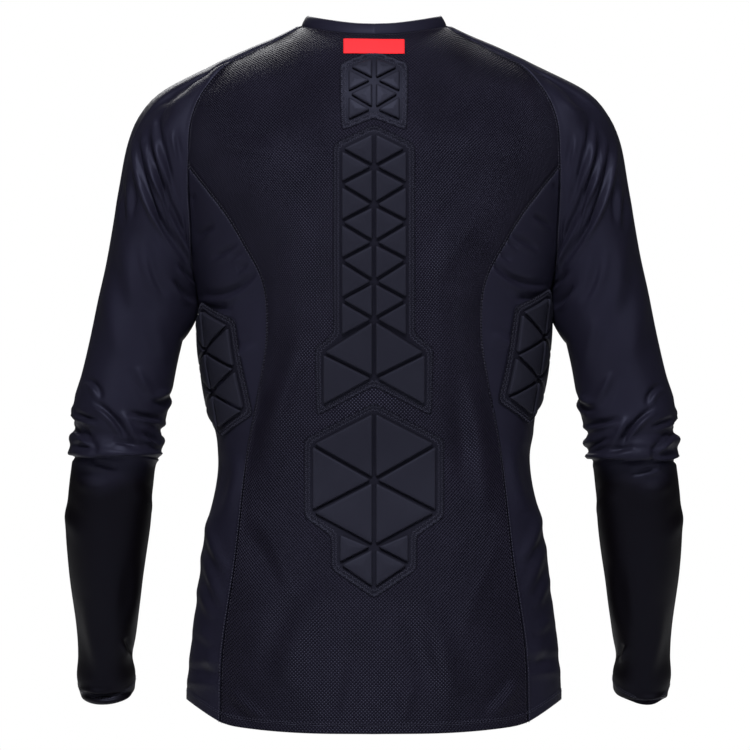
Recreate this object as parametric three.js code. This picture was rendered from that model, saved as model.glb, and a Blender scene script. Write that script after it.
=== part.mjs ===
// A long-sleeved padded compression shirt, filled out as when worn, hollow and open at neck, cuffs and hem.
// Millimetres, +Z up, the wearer's front towards -Y and the wearer's left towards +X.
// The origin is in the middle between the shoulders, where the wearer carries the shirt.
import * as THREE from "three";
import { mergeVertices } from "three/addons/utils/BufferGeometryUtils.js";

// Driving sizes
const WALL = 1.4; // cloth wall
const SEAM_GAP = 0.3; // between two pieces at a seam
const ROUNDNESS = 2.4; // exponent of the torso's sections
const TORSO_ROWS = 24;
const RAGLAN_STEPS = 7;
const NECK_STEPS = 6;
const UNDERARM_STEPS = 5;
const SLEEVE_ROWS = 35;
const UPPER_ROWS = 16; // sleeve rows above the underarm
const LINE_SAMPLES = 300; // points tried when the sleeve is fitted to its outer line
const BAND_HEIGHT = 11.5;
const BAND_LEAN = 0.55; // how far the band leans in for each unit of height
const BAND_INSET = 0.8; // the band stands inside the neckline
const ARMPIT_GAP = 0.6; // sleeve to side panel, where they fold onto each other under the arm
const PAD_LIFT = 0.9; // backing above the cloth
const LOWER_PAD_LIFT = 1.2; // more where the pad is wide and the cloth's facets stand out further
const SIDE_PAD_LIFT = 1.5;
const BACKING = 1.0;
const FOAM = 4.2; // foam above its backing
const GROOVE = 1.6; // half the width of a groove's floor
const SLOPE = 2.2; // run of a foam block's sloping side
const CROWN = 0.4; // the middle of a foam block above its edge
const BORDER = 7.5; // stitched backing outside the foam
const LABEL_LIFT = -0.2; // from the curve, whose flat facets lie further in here
const LABEL_THICK = 0.9;
const LABEL_ROWS = 2;
const ARRIVAL = 0.35; // share of a row of ARM that gives the way in which the upper sleeve ends
const PANEL_HOLD = [6, 1.6]; // how near the top edge a body panel starts to follow it, across and up
const UNDERARM_SHARPNESS = 0.75; // below 1 the armhole falls steeply and runs level under the arm
const SHOULDER_SPREAD = 1.6; // how fast the fit to the outer line fades round the sleeve
const HEM_LEVEL = -680; // section on which the hem's places are measured
const SHOULDER_TOP = { x: 76.5, z: 31 }; // where the two raglan seams' neck ends meet over the shoulder
const SLIGHT = 1; // step along the surface to find its direction
const SLIGHT_TURN = 0.01;
const TURNS = 720; // steps in half a turn round the torso
const MITRE = 0.75; // least spread of a border's corner

// Torso sections: height, half width, depth behind and in front of the middle
const TORSO = [
  { z: -710, half: 193, back: 112, front: 104 },
  { z: -645, half: 194, back: 113, front: 104 },
  { z: -562, half: 186, back: 108, front: 103 },
  { z: -500, half: 178, back: 98, front: 102 },
  { z: -425, half: 163, back: 88, front: 101 },
  { z: -374, half: 167, back: 91, front: 104 },
  { z: -312, half: 177, back: 99, front: 110 },
  { z: -255, half: 182, back: 107, front: 115 },
  { z: -190, half: 197, back: 113, front: 119 },
  { z: -110, half: 216, back: 115, front: 117 },
  { z: 60, half: 222, back: 112, front: 106 },
];
// Ridge of the shoulders: distance from the middle, height, and how far down the back and front round off
const RIDGE = [
  { x: 0, z: 54, y: -8, backDrop: 150, frontDrop: 300 },
  { x: 43, z: 45, y: -3, backDrop: 146, frontDrop: 240 },
  { x: 75, z: 35, y: 4, backDrop: 140, frontDrop: 160 },
  { x: 101, z: 21, y: 6, backDrop: 125, frontDrop: 125 },
  { x: 131, z: 9, y: 6, backDrop: 108, frontDrop: 105 },
  { x: 150, z: 2, y: 5, backDrop: 98, frontDrop: 95 },
  { x: 175, z: -11, y: 3, backDrop: 88, frontDrop: 84 },
  { x: 198, z: -22, y: 0, backDrop: 80, frontDrop: 76 },
  { x: 222, z: -34, y: 0, backDrop: 74, frontDrop: 70 },
];
// Seams in the view from behind, from the neck outwards or from the top down
const RAGLAN_BACK = [
  { x: 75, z: 33.5 },
  { x: 101, z: 19 },
  { x: 130, z: 4 },
  { x: 151, z: -6 },
  { x: 169, z: -24 },
  { x: 182, z: -44 },
  { x: 190, z: -70 },
  { x: 192, z: -112 },
];
const RAGLAN_FRONT = [
  { x: 76, z: 8 },
  { x: 96, z: -14 },
  { x: 118, z: -34 },
  { x: 139, z: -53 },
  { x: 158, z: -72 },
  { x: 173, z: -90 },
  { x: 184, z: -104 },
  { x: 190, z: -122 },
];
const NECK_BACK = [
  { x: 0, z: 25 },
  { x: 24, z: 26 },
  { x: 52, z: 29.5 },
  { x: 75, z: 33.5 },
];
const NECK_FRONT = [
  { x: 0, z: -42 },
  { x: 26, z: -37 },
  { x: 54, z: -19 },
  { x: 76, z: 8 },
];
const UNDERARM_Z = -228;
const SIDE_SEAM_BACK = [
  { x: 192, z: -112 },
  { x: 170, z: -140 },
  { x: 154, z: -161 },
  { x: 138, z: -187 },
  { x: 115, z: -232 },
  { x: 111, z: -286 },
  { x: 118, z: -335 },
  { x: 131, z: -406 },
  { x: 144, z: -520 },
  { x: 157, z: -614 },
  { x: 159, z: -690 },
];
const SIDE_SEAM_FRONT = [
  { x: 190, z: -122 },
  { x: 168, z: -165 },
  { x: 150, z: -215 },
  { x: 138, z: -290 },
  { x: 134, z: -400 },
  { x: 146, z: -520 },
  { x: 158, z: -614 },
  { x: 160, z: -690 },
];
// Hem height against the distance round from the middle of the back to the side
const HEM = [
  { x: 0, z: -699 },
  { x: 75, z: -698 },
  { x: 135, z: -693 },
  { x: 159, z: -687 },
  { x: 195, z: -664 },
];

// Outer line of the sleeve from the neck to the level of the underarm
const SHOULDER_LINE = [
  { x: 76, z: 34 },
  { x: 101, z: 21.5 },
  { x: 131, z: 9 },
  { x: 175, z: -11 },
  { x: 220, z: -34 },
  { x: 243, z: -58 },
  { x: 256, z: -87 },
  { x: 265, z: -133 },
  { x: 277, z: -203 },
  { x: 287, z: -250 },
];
// Sleeve sections below the underarm, bunched at the elbow: inner and outer end, middle, half depth, and how
// far the back of the section tips down
const ARM = [
  { inX: 193, inZ: -268, outX: 287, outZ: -250, y: -2, deep: 54, tip: 0 },
  { inX: 204, inZ: -313, outX: 295, outZ: -288, y: 0, deep: 51, tip: 0 },
  { inX: 210, inZ: -345, outX: 304, outZ: -326, y: 2, deep: 49, tip: 0 },
  { inX: 216, inZ: -372, outX: 312, outZ: -352, y: 4, deep: 48, tip: 0 },
  { inX: 220, inZ: -388, outX: 314, outZ: -372, y: 5, deep: 49, tip: 0 },
  { inX: 218, inZ: -400, outX: 312, outZ: -386, y: 5, deep: 47, tip: 0 },
  { inX: 223, inZ: -408, outX: 317, outZ: -396, y: 6, deep: 49, tip: 0 },
  { inX: 222, inZ: -416, outX: 316, outZ: -406, y: 5, deep: 49, tip: 0 },
  { inX: 227, inZ: -422, outX: 314, outZ: -415, y: 1, deep: 44, tip: 0 },
  { inX: 230, inZ: -447, outX: 317, outZ: -440, y: -2, deep: 43, tip: 1 },
  { inX: 233, inZ: -489, outX: 321, outZ: -480, y: -8, deep: 42, tip: 3 },
  { inX: 241, inZ: -543, outX: 318, outZ: -532, y: -20, deep: 38, tip: 6 },
  { inX: 248, inZ: -596, outX: 311, outZ: -588, y: -38, deep: 33, tip: 9 },
  { inX: 252, inZ: -620, outX: 309, outZ: -619, y: -47, deep: 30, tip: 11 },
  { inX: 249, inZ: -638, outX: 310, outZ: -642, y: -53, deep: 30, tip: 13 },
  { inX: 250, inZ: -653, outX: 306, outZ: -659, y: -58, deep: 28, tip: 15 },
];
// Large folds: a line in the view from behind, its half width, and its height out of the cloth
const BACK_FOLDS = [
  { x0: 71, z0: -286, x1: 118, z1: -430, wide: 14, high: 3 },
  { x0: 46, z0: -540, x1: 96, z1: -650, wide: 16, high: 2.5 },
  { x0: -96, z0: -330, x1: -112, z1: -470, wide: 12, high: 2.5 },
  { x0: -60, z0: -560, x1: -88, z1: -660, wide: 16, high: 2.5 },
];
const SIDE_FOLDS = [
  { x0: 161, z0: -208, x1: 190, z1: -178, wide: 9, high: -3 },
  { x0: 142, z0: -410, x1: 164, z1: -573, wide: 9, high: 3 },
  { x0: 176, z0: -440, x1: 150, z1: -500, wide: 9, high: -2.5 },
];
const SLEEVE_FOLDS = [
  { x0: 230, z0: -78, x1: 198, z1: -200, wide: 9, high: -5 },
  { x0: 246, z0: -88, x1: 206, z1: -192, wide: 8, high: 4 },
  { x0: 250, z0: -130, x1: 212, z1: -216, wide: 8, high: -4 },
  { x0: 297, z0: -335, x1: 262, z1: -362, wide: 8, high: 4 },
  { x0: 290, z0: -358, x1: 262, z1: -383, wide: 7, high: -5 },
  { x0: 311, z0: -382, x1: 278, z1: -406, wide: 7, high: 4 },
];
const LABEL = { half: 31.5, top: 21, bottom: 6, steps: 6 };

// Pads on the spine, by the heights of their nodes: middle column, and side column with its distance out
const UPPER_PAD = {
  middle: [0, -25, -55],
  side: [{ x: 28, z: -11 }, { x: 28, z: -38.5 }, { x: 28, z: -67 }],
};
const MIDDLE_PAD = {
  middle: [-77, -113, -152, -191, -231, -270, -331],
  side: [
    { x: 35, z: -94 },
    { x: 35, z: -131 },
    { x: 35, z: -170 },
    { x: 35, z: -209 },
    { x: 35, z: -250 },
    { x: 54, z: -304 },
    { x: 54, z: -361 },
  ],
  narrowEnd: { row: 4, x: 35, z: -289 },
};
const LOWER_PAD = {
  middle: [-365, -437, -506, -550],
  side: [{ x: 65, z: -399 }, { x: 65, z: -471 }, { x: 37, z: -525 }],
  narrowStart: { row: 1, x: 37, z: -490.6 },
};
// Side pads, in distance round from the middle of the side, towards the back, and height
const SIDE_PAD = { middle: [-245, -289, -332, -371], side: [-262, -307, -351], half: 42, about: 37 };
const LEFT_PAD_DROP = 14;

const INK = new THREE.Color(0.012, 0.011, 0.018);
const PAD_INK = new THREE.Color(0.016, 0.016, 0.025);
const RED = new THREE.Color(0.78, 0.04, 0.045);
const cloth = (color, roughness) => new THREE.MeshStandardMaterial({ color, roughness, metalness: 0 });
const meshMaterial = () => cloth(INK, 0.8);
const stretchMaterial = () => cloth(INK, 0.5);
const padMaterial = () => cloth(PAD_INK, 0.85);
const labelMaterial = () => cloth(RED, 0.6);

const vec = (x, y, z) => new THREE.Vector3(x, y, z);
const mix = (a, b, t) => a + (b - a) * t;
const hold = (value, low, high) => Math.min(Math.max(value, low), high);

// Value of one column of a table at a place in another column, on a smooth curve through the rows
function lookUp(table, key, column, at) {
  const rows = table[0][key] < table.at(-1)[key] ? table : [...table].reverse();
  const last = rows.length - 1;
  if (at <= rows[0][key]) return rows[0][column];
  if (at >= rows[last][key]) return rows[last][column];
  const i = rows.findIndex((row) => row[key] > at) - 1;
  const slope = (j) => {
    const low = rows[Math.max(j - 1, 0)];
    const high = rows[Math.min(j + 1, last)];
    return (high[column] - low[column]) / (high[key] - low[key]);
  };
  const width = rows[i + 1][key] - rows[i][key];
  const t = (at - rows[i][key]) / width;
  return hermite(rows[i][column], slope(i) * width, rows[i + 1][column], slope(i + 1) * width, t);
}

function hermite(start, startSlope, end, endSlope, t) {
  const s = t * t * (3 - 2 * t);
  return mix(start, end, s) + startSlope * t * (1 - t) ** 2 - endSlope * t * t * (1 - t);
}

// Point at a share of the way along a table of x and z, by its row number
function along(table, share) {
  const rows = table.map((row, i) => ({ ...row, i }));
  const at = share * (rows.length - 1);
  return { x: lookUp(rows, "i", "x", at), z: lookUp(rows, "i", "z", at) };
}

const torso = (z, column) => lookUp(TORSO, "z", column, z);

// Depth of the body's surface at a place in the view from behind; side is 1 at the back and -1 at the front
function depthAt(x, z, side) {
  const out = Math.abs(x);
  const share = Math.min(out / torso(z, "half"), 1);
  const full = side * torso(z, side > 0 ? "back" : "front") * (1 - share ** ROUNDNESS) ** (1 / ROUNDNESS);
  const ridge = lookUp(RIDGE, "x", "z", out);
  const drop = lookUp(RIDGE, "x", side > 0 ? "backDrop" : "frontDrop", out);
  const middle = lookUp(RIDGE, "x", "y", out);
  const fall = hold((ridge - z) / drop, 0, 1);
  const turn = Math.sqrt(1 - (1 - fall) ** 2);
  return mix(middle, full, turn);
}

const onBody = (x, z, side) => vec(x, depthAt(x, z, side), z);

// Point on the torso's section at a height, by its angle from the middle of the back towards +X
function onSection(angle, z) {
  const s = Math.sin(angle);
  const c = Math.cos(angle);
  const power = 2 / ROUNDNESS;
  const deep = c > 0 ? torso(z, "back") : torso(z, "front");
  return vec(
    Math.sign(s) * torso(z, "half") * Math.abs(s) ** power,
    Math.sign(c) * deep * Math.abs(c) ** power,
    z,
  );
}

// Angle on the torso's section of a place at a distance out from the middle
function sectionAngle(x, z, side) {
  const share = Math.min(x / torso(z, "half"), 1);
  const angle = Math.asin(share ** (ROUNDNESS / 2));
  return side > 0 ? angle : Math.PI - angle;
}

// Height added by a table of folds to a place in the view from behind
function foldHeight(folds, x, z) {
  let sum = 0;
  for (const fold of folds) {
    const dx = fold.x1 - fold.x0;
    const dz = fold.z1 - fold.z0;
    const t = ((x - fold.x0) * dx + (z - fold.z0) * dz) / (dx * dx + dz * dz);
    const near = hold(t, 0, 1);
    const away = Math.hypot(x - fold.x0 - near * dx, z - fold.z0 - near * dz);
    sum += fold.high * Math.exp(-((away / fold.wide) ** 2)) * Math.sin(Math.PI * (0.15 + 0.7 * near));
  }
  return sum;
}

// Grid of points between four edges: rows run from the bottom edge to the top edge. For each of the two
// coordinates, follow is how near to the top edge the grid starts to follow its shape.
function fillPatch(bottom, top, left, right, follow = [1, 1]) {
  const columns = bottom.length - 1;
  const rows = left.length - 1;
  return left.map((leftPoint, r) =>
    bottom.map((bottomPoint, c) => {
      const u = c / columns;
      const v = r / rows;
      return leftPoint.map((_, k) => {
        const across = mix(left[r][k], right[r][k], u);
        const low = bottomPoint[k] - mix(bottom[0][k], bottom[columns][k], u);
        const high = top[c][k] - mix(top[0][k], top[columns][k], u);
        return across + low * (1 - v) + high * v ** follow[k];
      });
    }),
  );
}

const steps = (count) => Array.from({ length: count + 1 }, (_, i) => i / count);

// Edge of the panel on one side: raglan, neckline, raglan, as pairs of x and z
function topEdge(raglan, neck) {
  const slope = steps(RAGLAN_STEPS).map((t) => along(raglan, t));
  const half = steps(NECK_STEPS / 2).map((t) => along(neck, t));
  const right = [...half.slice(0, -1), ...slope].map((p) => [p.x, p.z]);
  return [...right.slice(1).reverse().map(([x, z]) => [-x, z]), ...right];
}

function seamPoint(seam, t) {
  const z = mix(lookUp(HEM, "x", "z", seam.at(-1).x), seam[0].z, t);
  return [lookUp(seam, "z", "x", z), z];
}

const seamLine = (seam, side) =>
  steps(TORSO_ROWS).map((t) => {
    const [x, z] = seamPoint(seam, t);
    return onBody(x, z, side);
  });

// Front or back panel, as a grid of points on the body
function bodyPanel(raglan, neck, seam, side) {
  const top = topEdge(raglan, neck);
  const edge = steps(TORSO_ROWS).map((t) => seamPoint(seam, t));
  const width = edge[0][0];
  const bottom = steps(top.length - 1).map((t) => {
    const x = mix(-width, width, t);
    return [x, lookUp(HEM, "x", "z", Math.abs(x))];
  });
  const flat = fillPatch(bottom, top, edge.map(([x, z]) => [-x, z]), edge, PANEL_HOLD);
  return flat.map((row, r) =>
    row.map(([x, z], c) => {
      const inside = r > 0 && r < flat.length - 1 && c > 0 && c < row.length - 1;
      const point = onBody(x, z, side);
      if (inside && side > 0) point.y += foldHeight(BACK_FOLDS, x, z);
      return point;
    }),
  );
}

// Lower part of the armhole, from the back raglan's end under the arm to the front raglan's end
function underarmAngles() {
  const start = RAGLAN_BACK.at(-1);
  const end = RAGLAN_FRONT.at(-1);
  const first = sectionAngle(start.x, start.z, 1);
  const last = sectionAngle(end.x, end.z, -1);
  return steps(2 * UNDERARM_STEPS).map((t) => {
    const dip = Math.sin(Math.PI * t) ** UNDERARM_SHARPNESS;
    return [mix(first, last, t), mix(mix(start.z, end.z, t), UNDERARM_Z, dip)];
  });
}

// Side panel of the wearer's left, as a grid of points from the back seam to the front seam
function sidePanel() {
  const top = underarmAngles();
  const edge = (seam, side) =>
    steps(TORSO_ROWS).map((t) => {
      const [x, z] = seamPoint(seam, t);
      return [sectionAngle(x, z, side), z];
    });
  const back = edge(SIDE_SEAM_BACK, 1);
  const front = edge(SIDE_SEAM_FRONT, -1);
  const bottom = steps(top.length - 1).map((t) => {
    const angle = mix(back[0][0], front[0][0], t);
    return [angle, lookUp(HEM, "x", "z", Math.abs(onSection(angle, HEM_LEVEL).x))];
  });
  const flat = fillPatch(bottom, top, back, front);
  const backLine = seamLine(SIDE_SEAM_BACK, 1);
  const frontLine = seamLine(SIDE_SEAM_FRONT, -1);
  return flat.map((row, r) =>
    row.map(([angle, z], c) => {
      if (c === 0) return backLine[r];
      if (c === row.length - 1) return frontLine[r];
      const point = onSection(angle, z);
      const inside = r > 0 && r < flat.length - 1;
      if (inside && point.y > 0) point.y += foldHeight(SIDE_FOLDS, point.x, z);
      return point;
    }),
  );
}

// Closed loop where the sleeve meets the torso: neck edge, back raglan, underarm, front raglan
function armholeLoop() {
  const back = steps(RAGLAN_STEPS).map((t) => along(RAGLAN_BACK, t)).map((p) => onBody(p.x, p.z, 1));
  const under = underarmAngles().map(([angle, z]) => onSection(angle, z).add(vec(ARMPIT_GAP, 0, 0)));
  const front = steps(RAGLAN_STEPS).map((t) => along(RAGLAN_FRONT, t)).map((p) => onBody(p.x, p.z, -1));
  const top = onBody(SHOULDER_TOP.x, SHOULDER_TOP.z, -1);
  return [top, ...back, ...under.slice(1, -1), ...front.reverse()];
}

// Points of one sleeve section for each turn round it: 0 is outside, then back, inside and front
function armSection(at, turns) {
  const rows = ARM.map((row, i) => ({ ...row, i }));
  const get = (column) => lookUp(rows, "i", column, at);
  const inner = vec(get("inX"), get("y"), get("inZ"));
  const outer = vec(get("outX"), get("y"), get("outZ"));
  const centre = inner.clone().lerp(outer, 0.5);
  const across = outer.sub(centre);
  return turns.map((turn) =>
    centre
      .clone()
      .addScaledVector(across, Math.cos(turn))
      .addScaledVector(vec(0, get("deep"), -get("tip")), Math.sin(turn)),
  );
}

function loopTurns(loop) {
  const lengths = loop.map((p, i) => p.distanceTo(loop[(i + 1) % loop.length]));
  const bottom = 1 + RAGLAN_STEPS + UNDERARM_STEPS;
  const run = (from, to) => lengths.slice(from, to).reduce((a, b) => a + b, 0);
  const first = run(0, bottom);
  const second = run(bottom, loop.length);
  return loop.map((_, i) =>
    i <= bottom ? (Math.PI * run(0, i)) / first : Math.PI * (1 + run(bottom, i) / second),
  );
}

// Directions in which the sleeve leaves its armhole
const UNDERARM_LEAVE = vec(0.45, 0, -0.9);
const SHOULDER_LEAVE = vec(1, 0, -0.35);

// Sleeve of the wearer's left: rows from the armhole to the cuff, each a closed loop
function sleeveRows() {
  const loop = armholeLoop();
  const turns = loopTurns(loop);
  const first = armSection(0, turns);
  const next = armSection(ARRIVAL, turns);
  const underarm = loop[1 + RAGLAN_STEPS + UNDERARM_STEPS];
  const shoulder = steps(LINE_SAMPLES).map((t) => along(SHOULDER_LINE, t));
  const blend = (t, i) => {
    const start = loop[i];
    const end = first[i];
    const chord = start.distanceTo(end);
    const high = hold((start.z - underarm.z) / (RAGLAN_BACK.at(-1).z - underarm.z), 0, 1);
    const leave = UNDERARM_LEAVE.clone().lerp(SHOULDER_LEAVE, high).normalize().multiplyScalar(chord);
    const arrive = next[i].clone().sub(end).normalize().multiplyScalar(chord);
    return vec(...["x", "y", "z"].map((k) => hermite(start[k], leave[k], end[k], arrive[k], t)));
  };
  const upper = steps(UPPER_ROWS).map((t, r) => {
    const top = blend(t, 0);
    const distance = (p) => Math.hypot(p.x - top.x, p.z - top.z);
    const near = shoulder.reduce((best, p) => (distance(p) < distance(best) ? p : best));
    const shift = vec(near.x - top.x, 0, near.z - top.z);
    return turns.map((turn, i) => {
      const share = r === 0 ? 0 : Math.max(Math.cos(turn), 0) ** SHOULDER_SPREAD;
      return blend(t, i).addScaledVector(shift, share);
    });
  });
  const down = steps(SLEEVE_ROWS - UPPER_ROWS).slice(1);
  const lower = down.map((t) => armSection(t * (ARM.length - 1), turns));
  const rows = [...upper, ...lower];
  rows.slice(1, -1).forEach((row) =>
    row.forEach((p, i) => {
      if (Math.sin(turns[i]) > 0) p.y += foldHeight(SLEEVE_FOLDS, p.x, p.z) * Math.sin(turns[i]);
    }),
  );
  return rows.map((row) => [...row, row[0].clone()]);
}

// Neckband: a closed ring of points along the neckline, and the same ring moved up and in
function neckbandRows() {
  const back = topEdge(RAGLAN_BACK, NECK_BACK).slice(RAGLAN_STEPS, -RAGLAN_STEPS);
  const front = topEdge(RAGLAN_FRONT, NECK_FRONT).slice(RAGLAN_STEPS, -RAGLAN_STEPS);
  const base = [
    ...back.map(([x, z]) => onBody(x, z, 1)),
    onBody(SHOULDER_TOP.x, SHOULDER_TOP.z, -1),
    ...front.reverse().map(([x, z]) => onBody(x, z, -1)),
    onBody(-SHOULDER_TOP.x, SHOULDER_TOP.z, -1),
  ];
  const centre = base.reduce((sum, p) => sum.add(p), vec(0, 0, 0)).divideScalar(base.length);
  const rise = (height) =>
    base.map((p) => {
      const away = vec(p.x - centre.x, p.y - centre.y, 0).normalize();
      return p.clone().addScaledVector(away, -BAND_LEAN * height - BAND_INSET).add(vec(0, 0, height));
    });
  const loops = [SEAM_GAP, 0.5 * BAND_HEIGHT, BAND_HEIGHT].map(rise);
  return loops.map((loop) => [...loop, loop[0].clone()]);
}

const keyOf = (p) => [p.x, p.y, p.z].map((v) => Math.round(v * 100)).join();

// Outward directions of a set of grids, shared where pieces meet along a seam
function shareNormals(grids) {
  const sums = new Map();
  for (const grid of grids)
    for (let r = 0; r + 1 < grid.length; r++)
      for (let c = 0; c + 1 < grid[r].length; c++) {
        const corners = [grid[r][c], grid[r][c + 1], grid[r + 1][c + 1], grid[r + 1][c]];
        const diagonal = corners[2].clone().sub(corners[0]);
        const other = corners[3].clone().sub(corners[1]);
        const normal = diagonal.cross(other).normalize();
        for (const p of corners) {
          const key = keyOf(p);
          sums.set(key, (sums.get(key) ?? vec(0, 0, 0)).add(normal));
        }
      }
  return (p) => sums.get(keyOf(p)).clone().normalize();
}

// Closed wall from a grid of points on its outside; a looped grid has its last column on its first
function wallGeometry(grid, normalAt, { looped = false, gaps = [true, true, true, true] } = {}) {
  const rows = grid.length - 1;
  const columns = grid[0].length - 1;
  const [gapBottom, gapTop, gapLeft, gapRight] = gaps;
  const turn = (c) => (looped ? (c + columns) % columns : hold(c, 0, columns));
  const level = (r) => hold(r, 0, rows);
  const shifted = grid.map((row, r) =>
    row.map((p, c) => {
      const move = vec(0, 0, 0);
      // Half the gap, along the cloth and square to the seam, to the left of the way from before to after
      const pull = (before, after) => {
        const away = normalAt(p).cross(after.clone().sub(before)).normalize();
        move.addScaledVector(away, SEAM_GAP / 2);
      };
      if (r === 0 && gapBottom) pull(row[turn(c - 1)], row[turn(c + 1)]);
      if (r === rows && gapTop) pull(row[turn(c + 1)], row[turn(c - 1)]);
      const [below, above] = [grid[level(r - 1)], grid[level(r + 1)]];
      if (c === 0 && gapLeft && !looped) pull(above[0], below[0]);
      if (c === columns && gapRight && !looped) pull(below[columns], above[columns]);
      return p.clone().add(move);
    }),
  );
  const inner = shifted.map((row, r) =>
    row.map((p, c) => p.clone().addScaledVector(normalAt(grid[r][c]), -WALL)),
  );
  const triangles = [];
  const quad = (a, b, c, d) => triangles.push(a, b, c, a, c, d);
  for (let r = 0; r < rows; r++)
    for (let c = 0; c < columns; c++) {
      quad(shifted[r][c], shifted[r][c + 1], shifted[r + 1][c + 1], shifted[r + 1][c]);
      quad(inner[r][c], inner[r + 1][c], inner[r + 1][c + 1], inner[r][c + 1]);
    }
  for (let c = 0; c < columns; c++) {
    quad(inner[0][c], inner[0][c + 1], shifted[0][c + 1], shifted[0][c]);
    quad(shifted[rows][c], shifted[rows][c + 1], inner[rows][c + 1], inner[rows][c]);
  }
  if (!looped)
    for (let r = 0; r < rows; r++) {
      quad(inner[r][0], shifted[r][0], shifted[r + 1][0], inner[r + 1][0]);
      quad(shifted[r][columns], inner[r][columns], inner[r + 1][columns], shifted[r + 1][columns]);
    }
  return soup(triangles);
}

function soup(points) {
  const flat = new Float32Array(points.flatMap((p) => [p.x, p.y, p.z]));
  const geometry = new THREE.BufferGeometry().setAttribute("position", new THREE.BufferAttribute(flat, 3));
  const merged = mergeVertices(geometry, 1e-3);
  merged.computeVertexNormals();
  return merged;
}

// Foam cells of a strip of triangles: each cell is its corners, plus the points that lie on its edges
function stripCells(middle, side, mirrorX) {
  const m = middle.map((z) => ({ x: 0, z }));
  const s = side.map(({ x, z }) => ({ x: mirrorX * x, z }));
  const cells = [];
  s.forEach((node, i) => {
    if (m[i + 1]) cells.push([m[i], node, m[i + 1]]);
    if (s[i + 1]) cells.push([node, s[i + 1], m[i + 1]]);
  });
  return cells;
}

function middlePadCells(mirrorX) {
  const cells = stripCells(MIDDLE_PAD.middle, MIDDLE_PAD.side, mirrorX);
  const { row, x, z } = MIDDLE_PAD.narrowEnd;
  const stop = { x: mirrorX * x, z };
  const wide = { x: mirrorX * MIDDLE_PAD.side[row + 1].x, z: MIDDLE_PAD.side[row + 1].z };
  cells[2 * row + 1][1] = stop;
  cells[2 * row + 2] = [cells[2 * row + 2][0], wide, cells[2 * row + 2][2]];
  cells[2 * row + 2].extra = { after: 0, point: stop };
  return cells;
}

function lowerPadCells(mirrorX) {
  const cells = stripCells(LOWER_PAD.middle, LOWER_PAD.side, mirrorX);
  const { row, x, z } = LOWER_PAD.narrowStart;
  const start = { x: mirrorX * x, z };
  const wide = { x: mirrorX * LOWER_PAD.side[row].x, z: LOWER_PAD.side[row].z };
  const low = { x: 0, z: LOWER_PAD.middle[row + 1] };
  cells[2 * row] = [{ x: 0, z: LOWER_PAD.middle[row] }, wide, low];
  cells[2 * row].extra = { after: 1, point: start };
  const end = LOWER_PAD.side[row + 1];
  cells[2 * row + 1] = [start, { x: mirrorX * end.x, z: end.z }, low];
  return cells;
}

function sidePadCells(mirrorX) {
  const side = SIDE_PAD.side.map((z) => ({ x: SIDE_PAD.half, z }));
  return stripCells(SIDE_PAD.middle, side, mirrorX);
}

// Outline of a cell, turning one way, with each edge in equal parts
function cellLoop(cell, parts) {
  const corners = cell.flatMap((p, i) => (cell.extra?.after === i ? [p, cell.extra.point] : [p]));
  const loop = corners.flatMap((p, i) => {
    const q = corners[(i + 1) % corners.length];
    return steps(parts).slice(0, -1).map((t) => ({ x: mix(p.x, q.x, t), z: mix(p.z, q.z, t) }));
  });
  const area = loop.reduce((sum, p, i) => {
    const q = loop[(i + 1) % loop.length];
    return sum + p.x * q.z - q.x * p.z;
  }, 0);
  return area > 0 ? loop : loop.reverse();
}

function inCentre(cell) {
  const [a, b, c] = cell;
  const length = (p, q) => Math.hypot(p.x - q.x, p.z - q.z);
  const [la, lb, lc] = [length(b, c), length(c, a), length(a, b)];
  const around = la + lb + lc;
  const area = Math.abs((b.x - a.x) * (c.z - a.z) - (c.x - a.x) * (b.z - a.z)) / 2;
  return {
    x: (la * a.x + lb * b.x + lc * c.x) / around,
    z: (la * a.z + lb * b.z + lc * c.z) / around,
    radius: (2 * area) / around,
  };
}

const planeKey = (p) => `${Math.round(p.x * 20)},${Math.round(p.z * 20)}`;

// Loop of the outside edges of a set of cell outlines
function outerLoop(loops) {
  const next = new Map();
  const edgeKey = (p, q) => `${planeKey(p)}>${planeKey(q)}`;
  const pairs = loops.flatMap((loop) => loop.map((p, i) => [p, loop[(i + 1) % loop.length]]));
  const edges = new Set(pairs.map(([p, q]) => edgeKey(p, q)));
  for (const [p, q] of pairs) if (!edges.has(edgeKey(q, p))) next.set(planeKey(p), q);
  const [first] = pairs.find(([p, q]) => !edges.has(edgeKey(q, p)));
  const outside = [first];
  let p = next.get(planeKey(first));
  while (planeKey(p) !== planeKey(first)) {
    outside.push(p);
    p = next.get(planeKey(p));
  }
  return outside;
}

// Border outline: each point of a loop moved out square to its edges
function borderLoop(loop) {
  return loop.map((p, i) => {
    const before = loop[(i + loop.length - 1) % loop.length];
    const after = loop[(i + 1) % loop.length];
    const out = (a, b) => new THREE.Vector2(b.z - a.z, a.x - b.x).normalize();
    const normal = out(before, p).add(out(p, after)).normalize();
    const spread = Math.max(normal.dot(out(p, after)), MITRE);
    return { x: p.x + (normal.x * BORDER) / spread, z: p.z + (normal.y * BORDER) / spread };
  });
}

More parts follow.
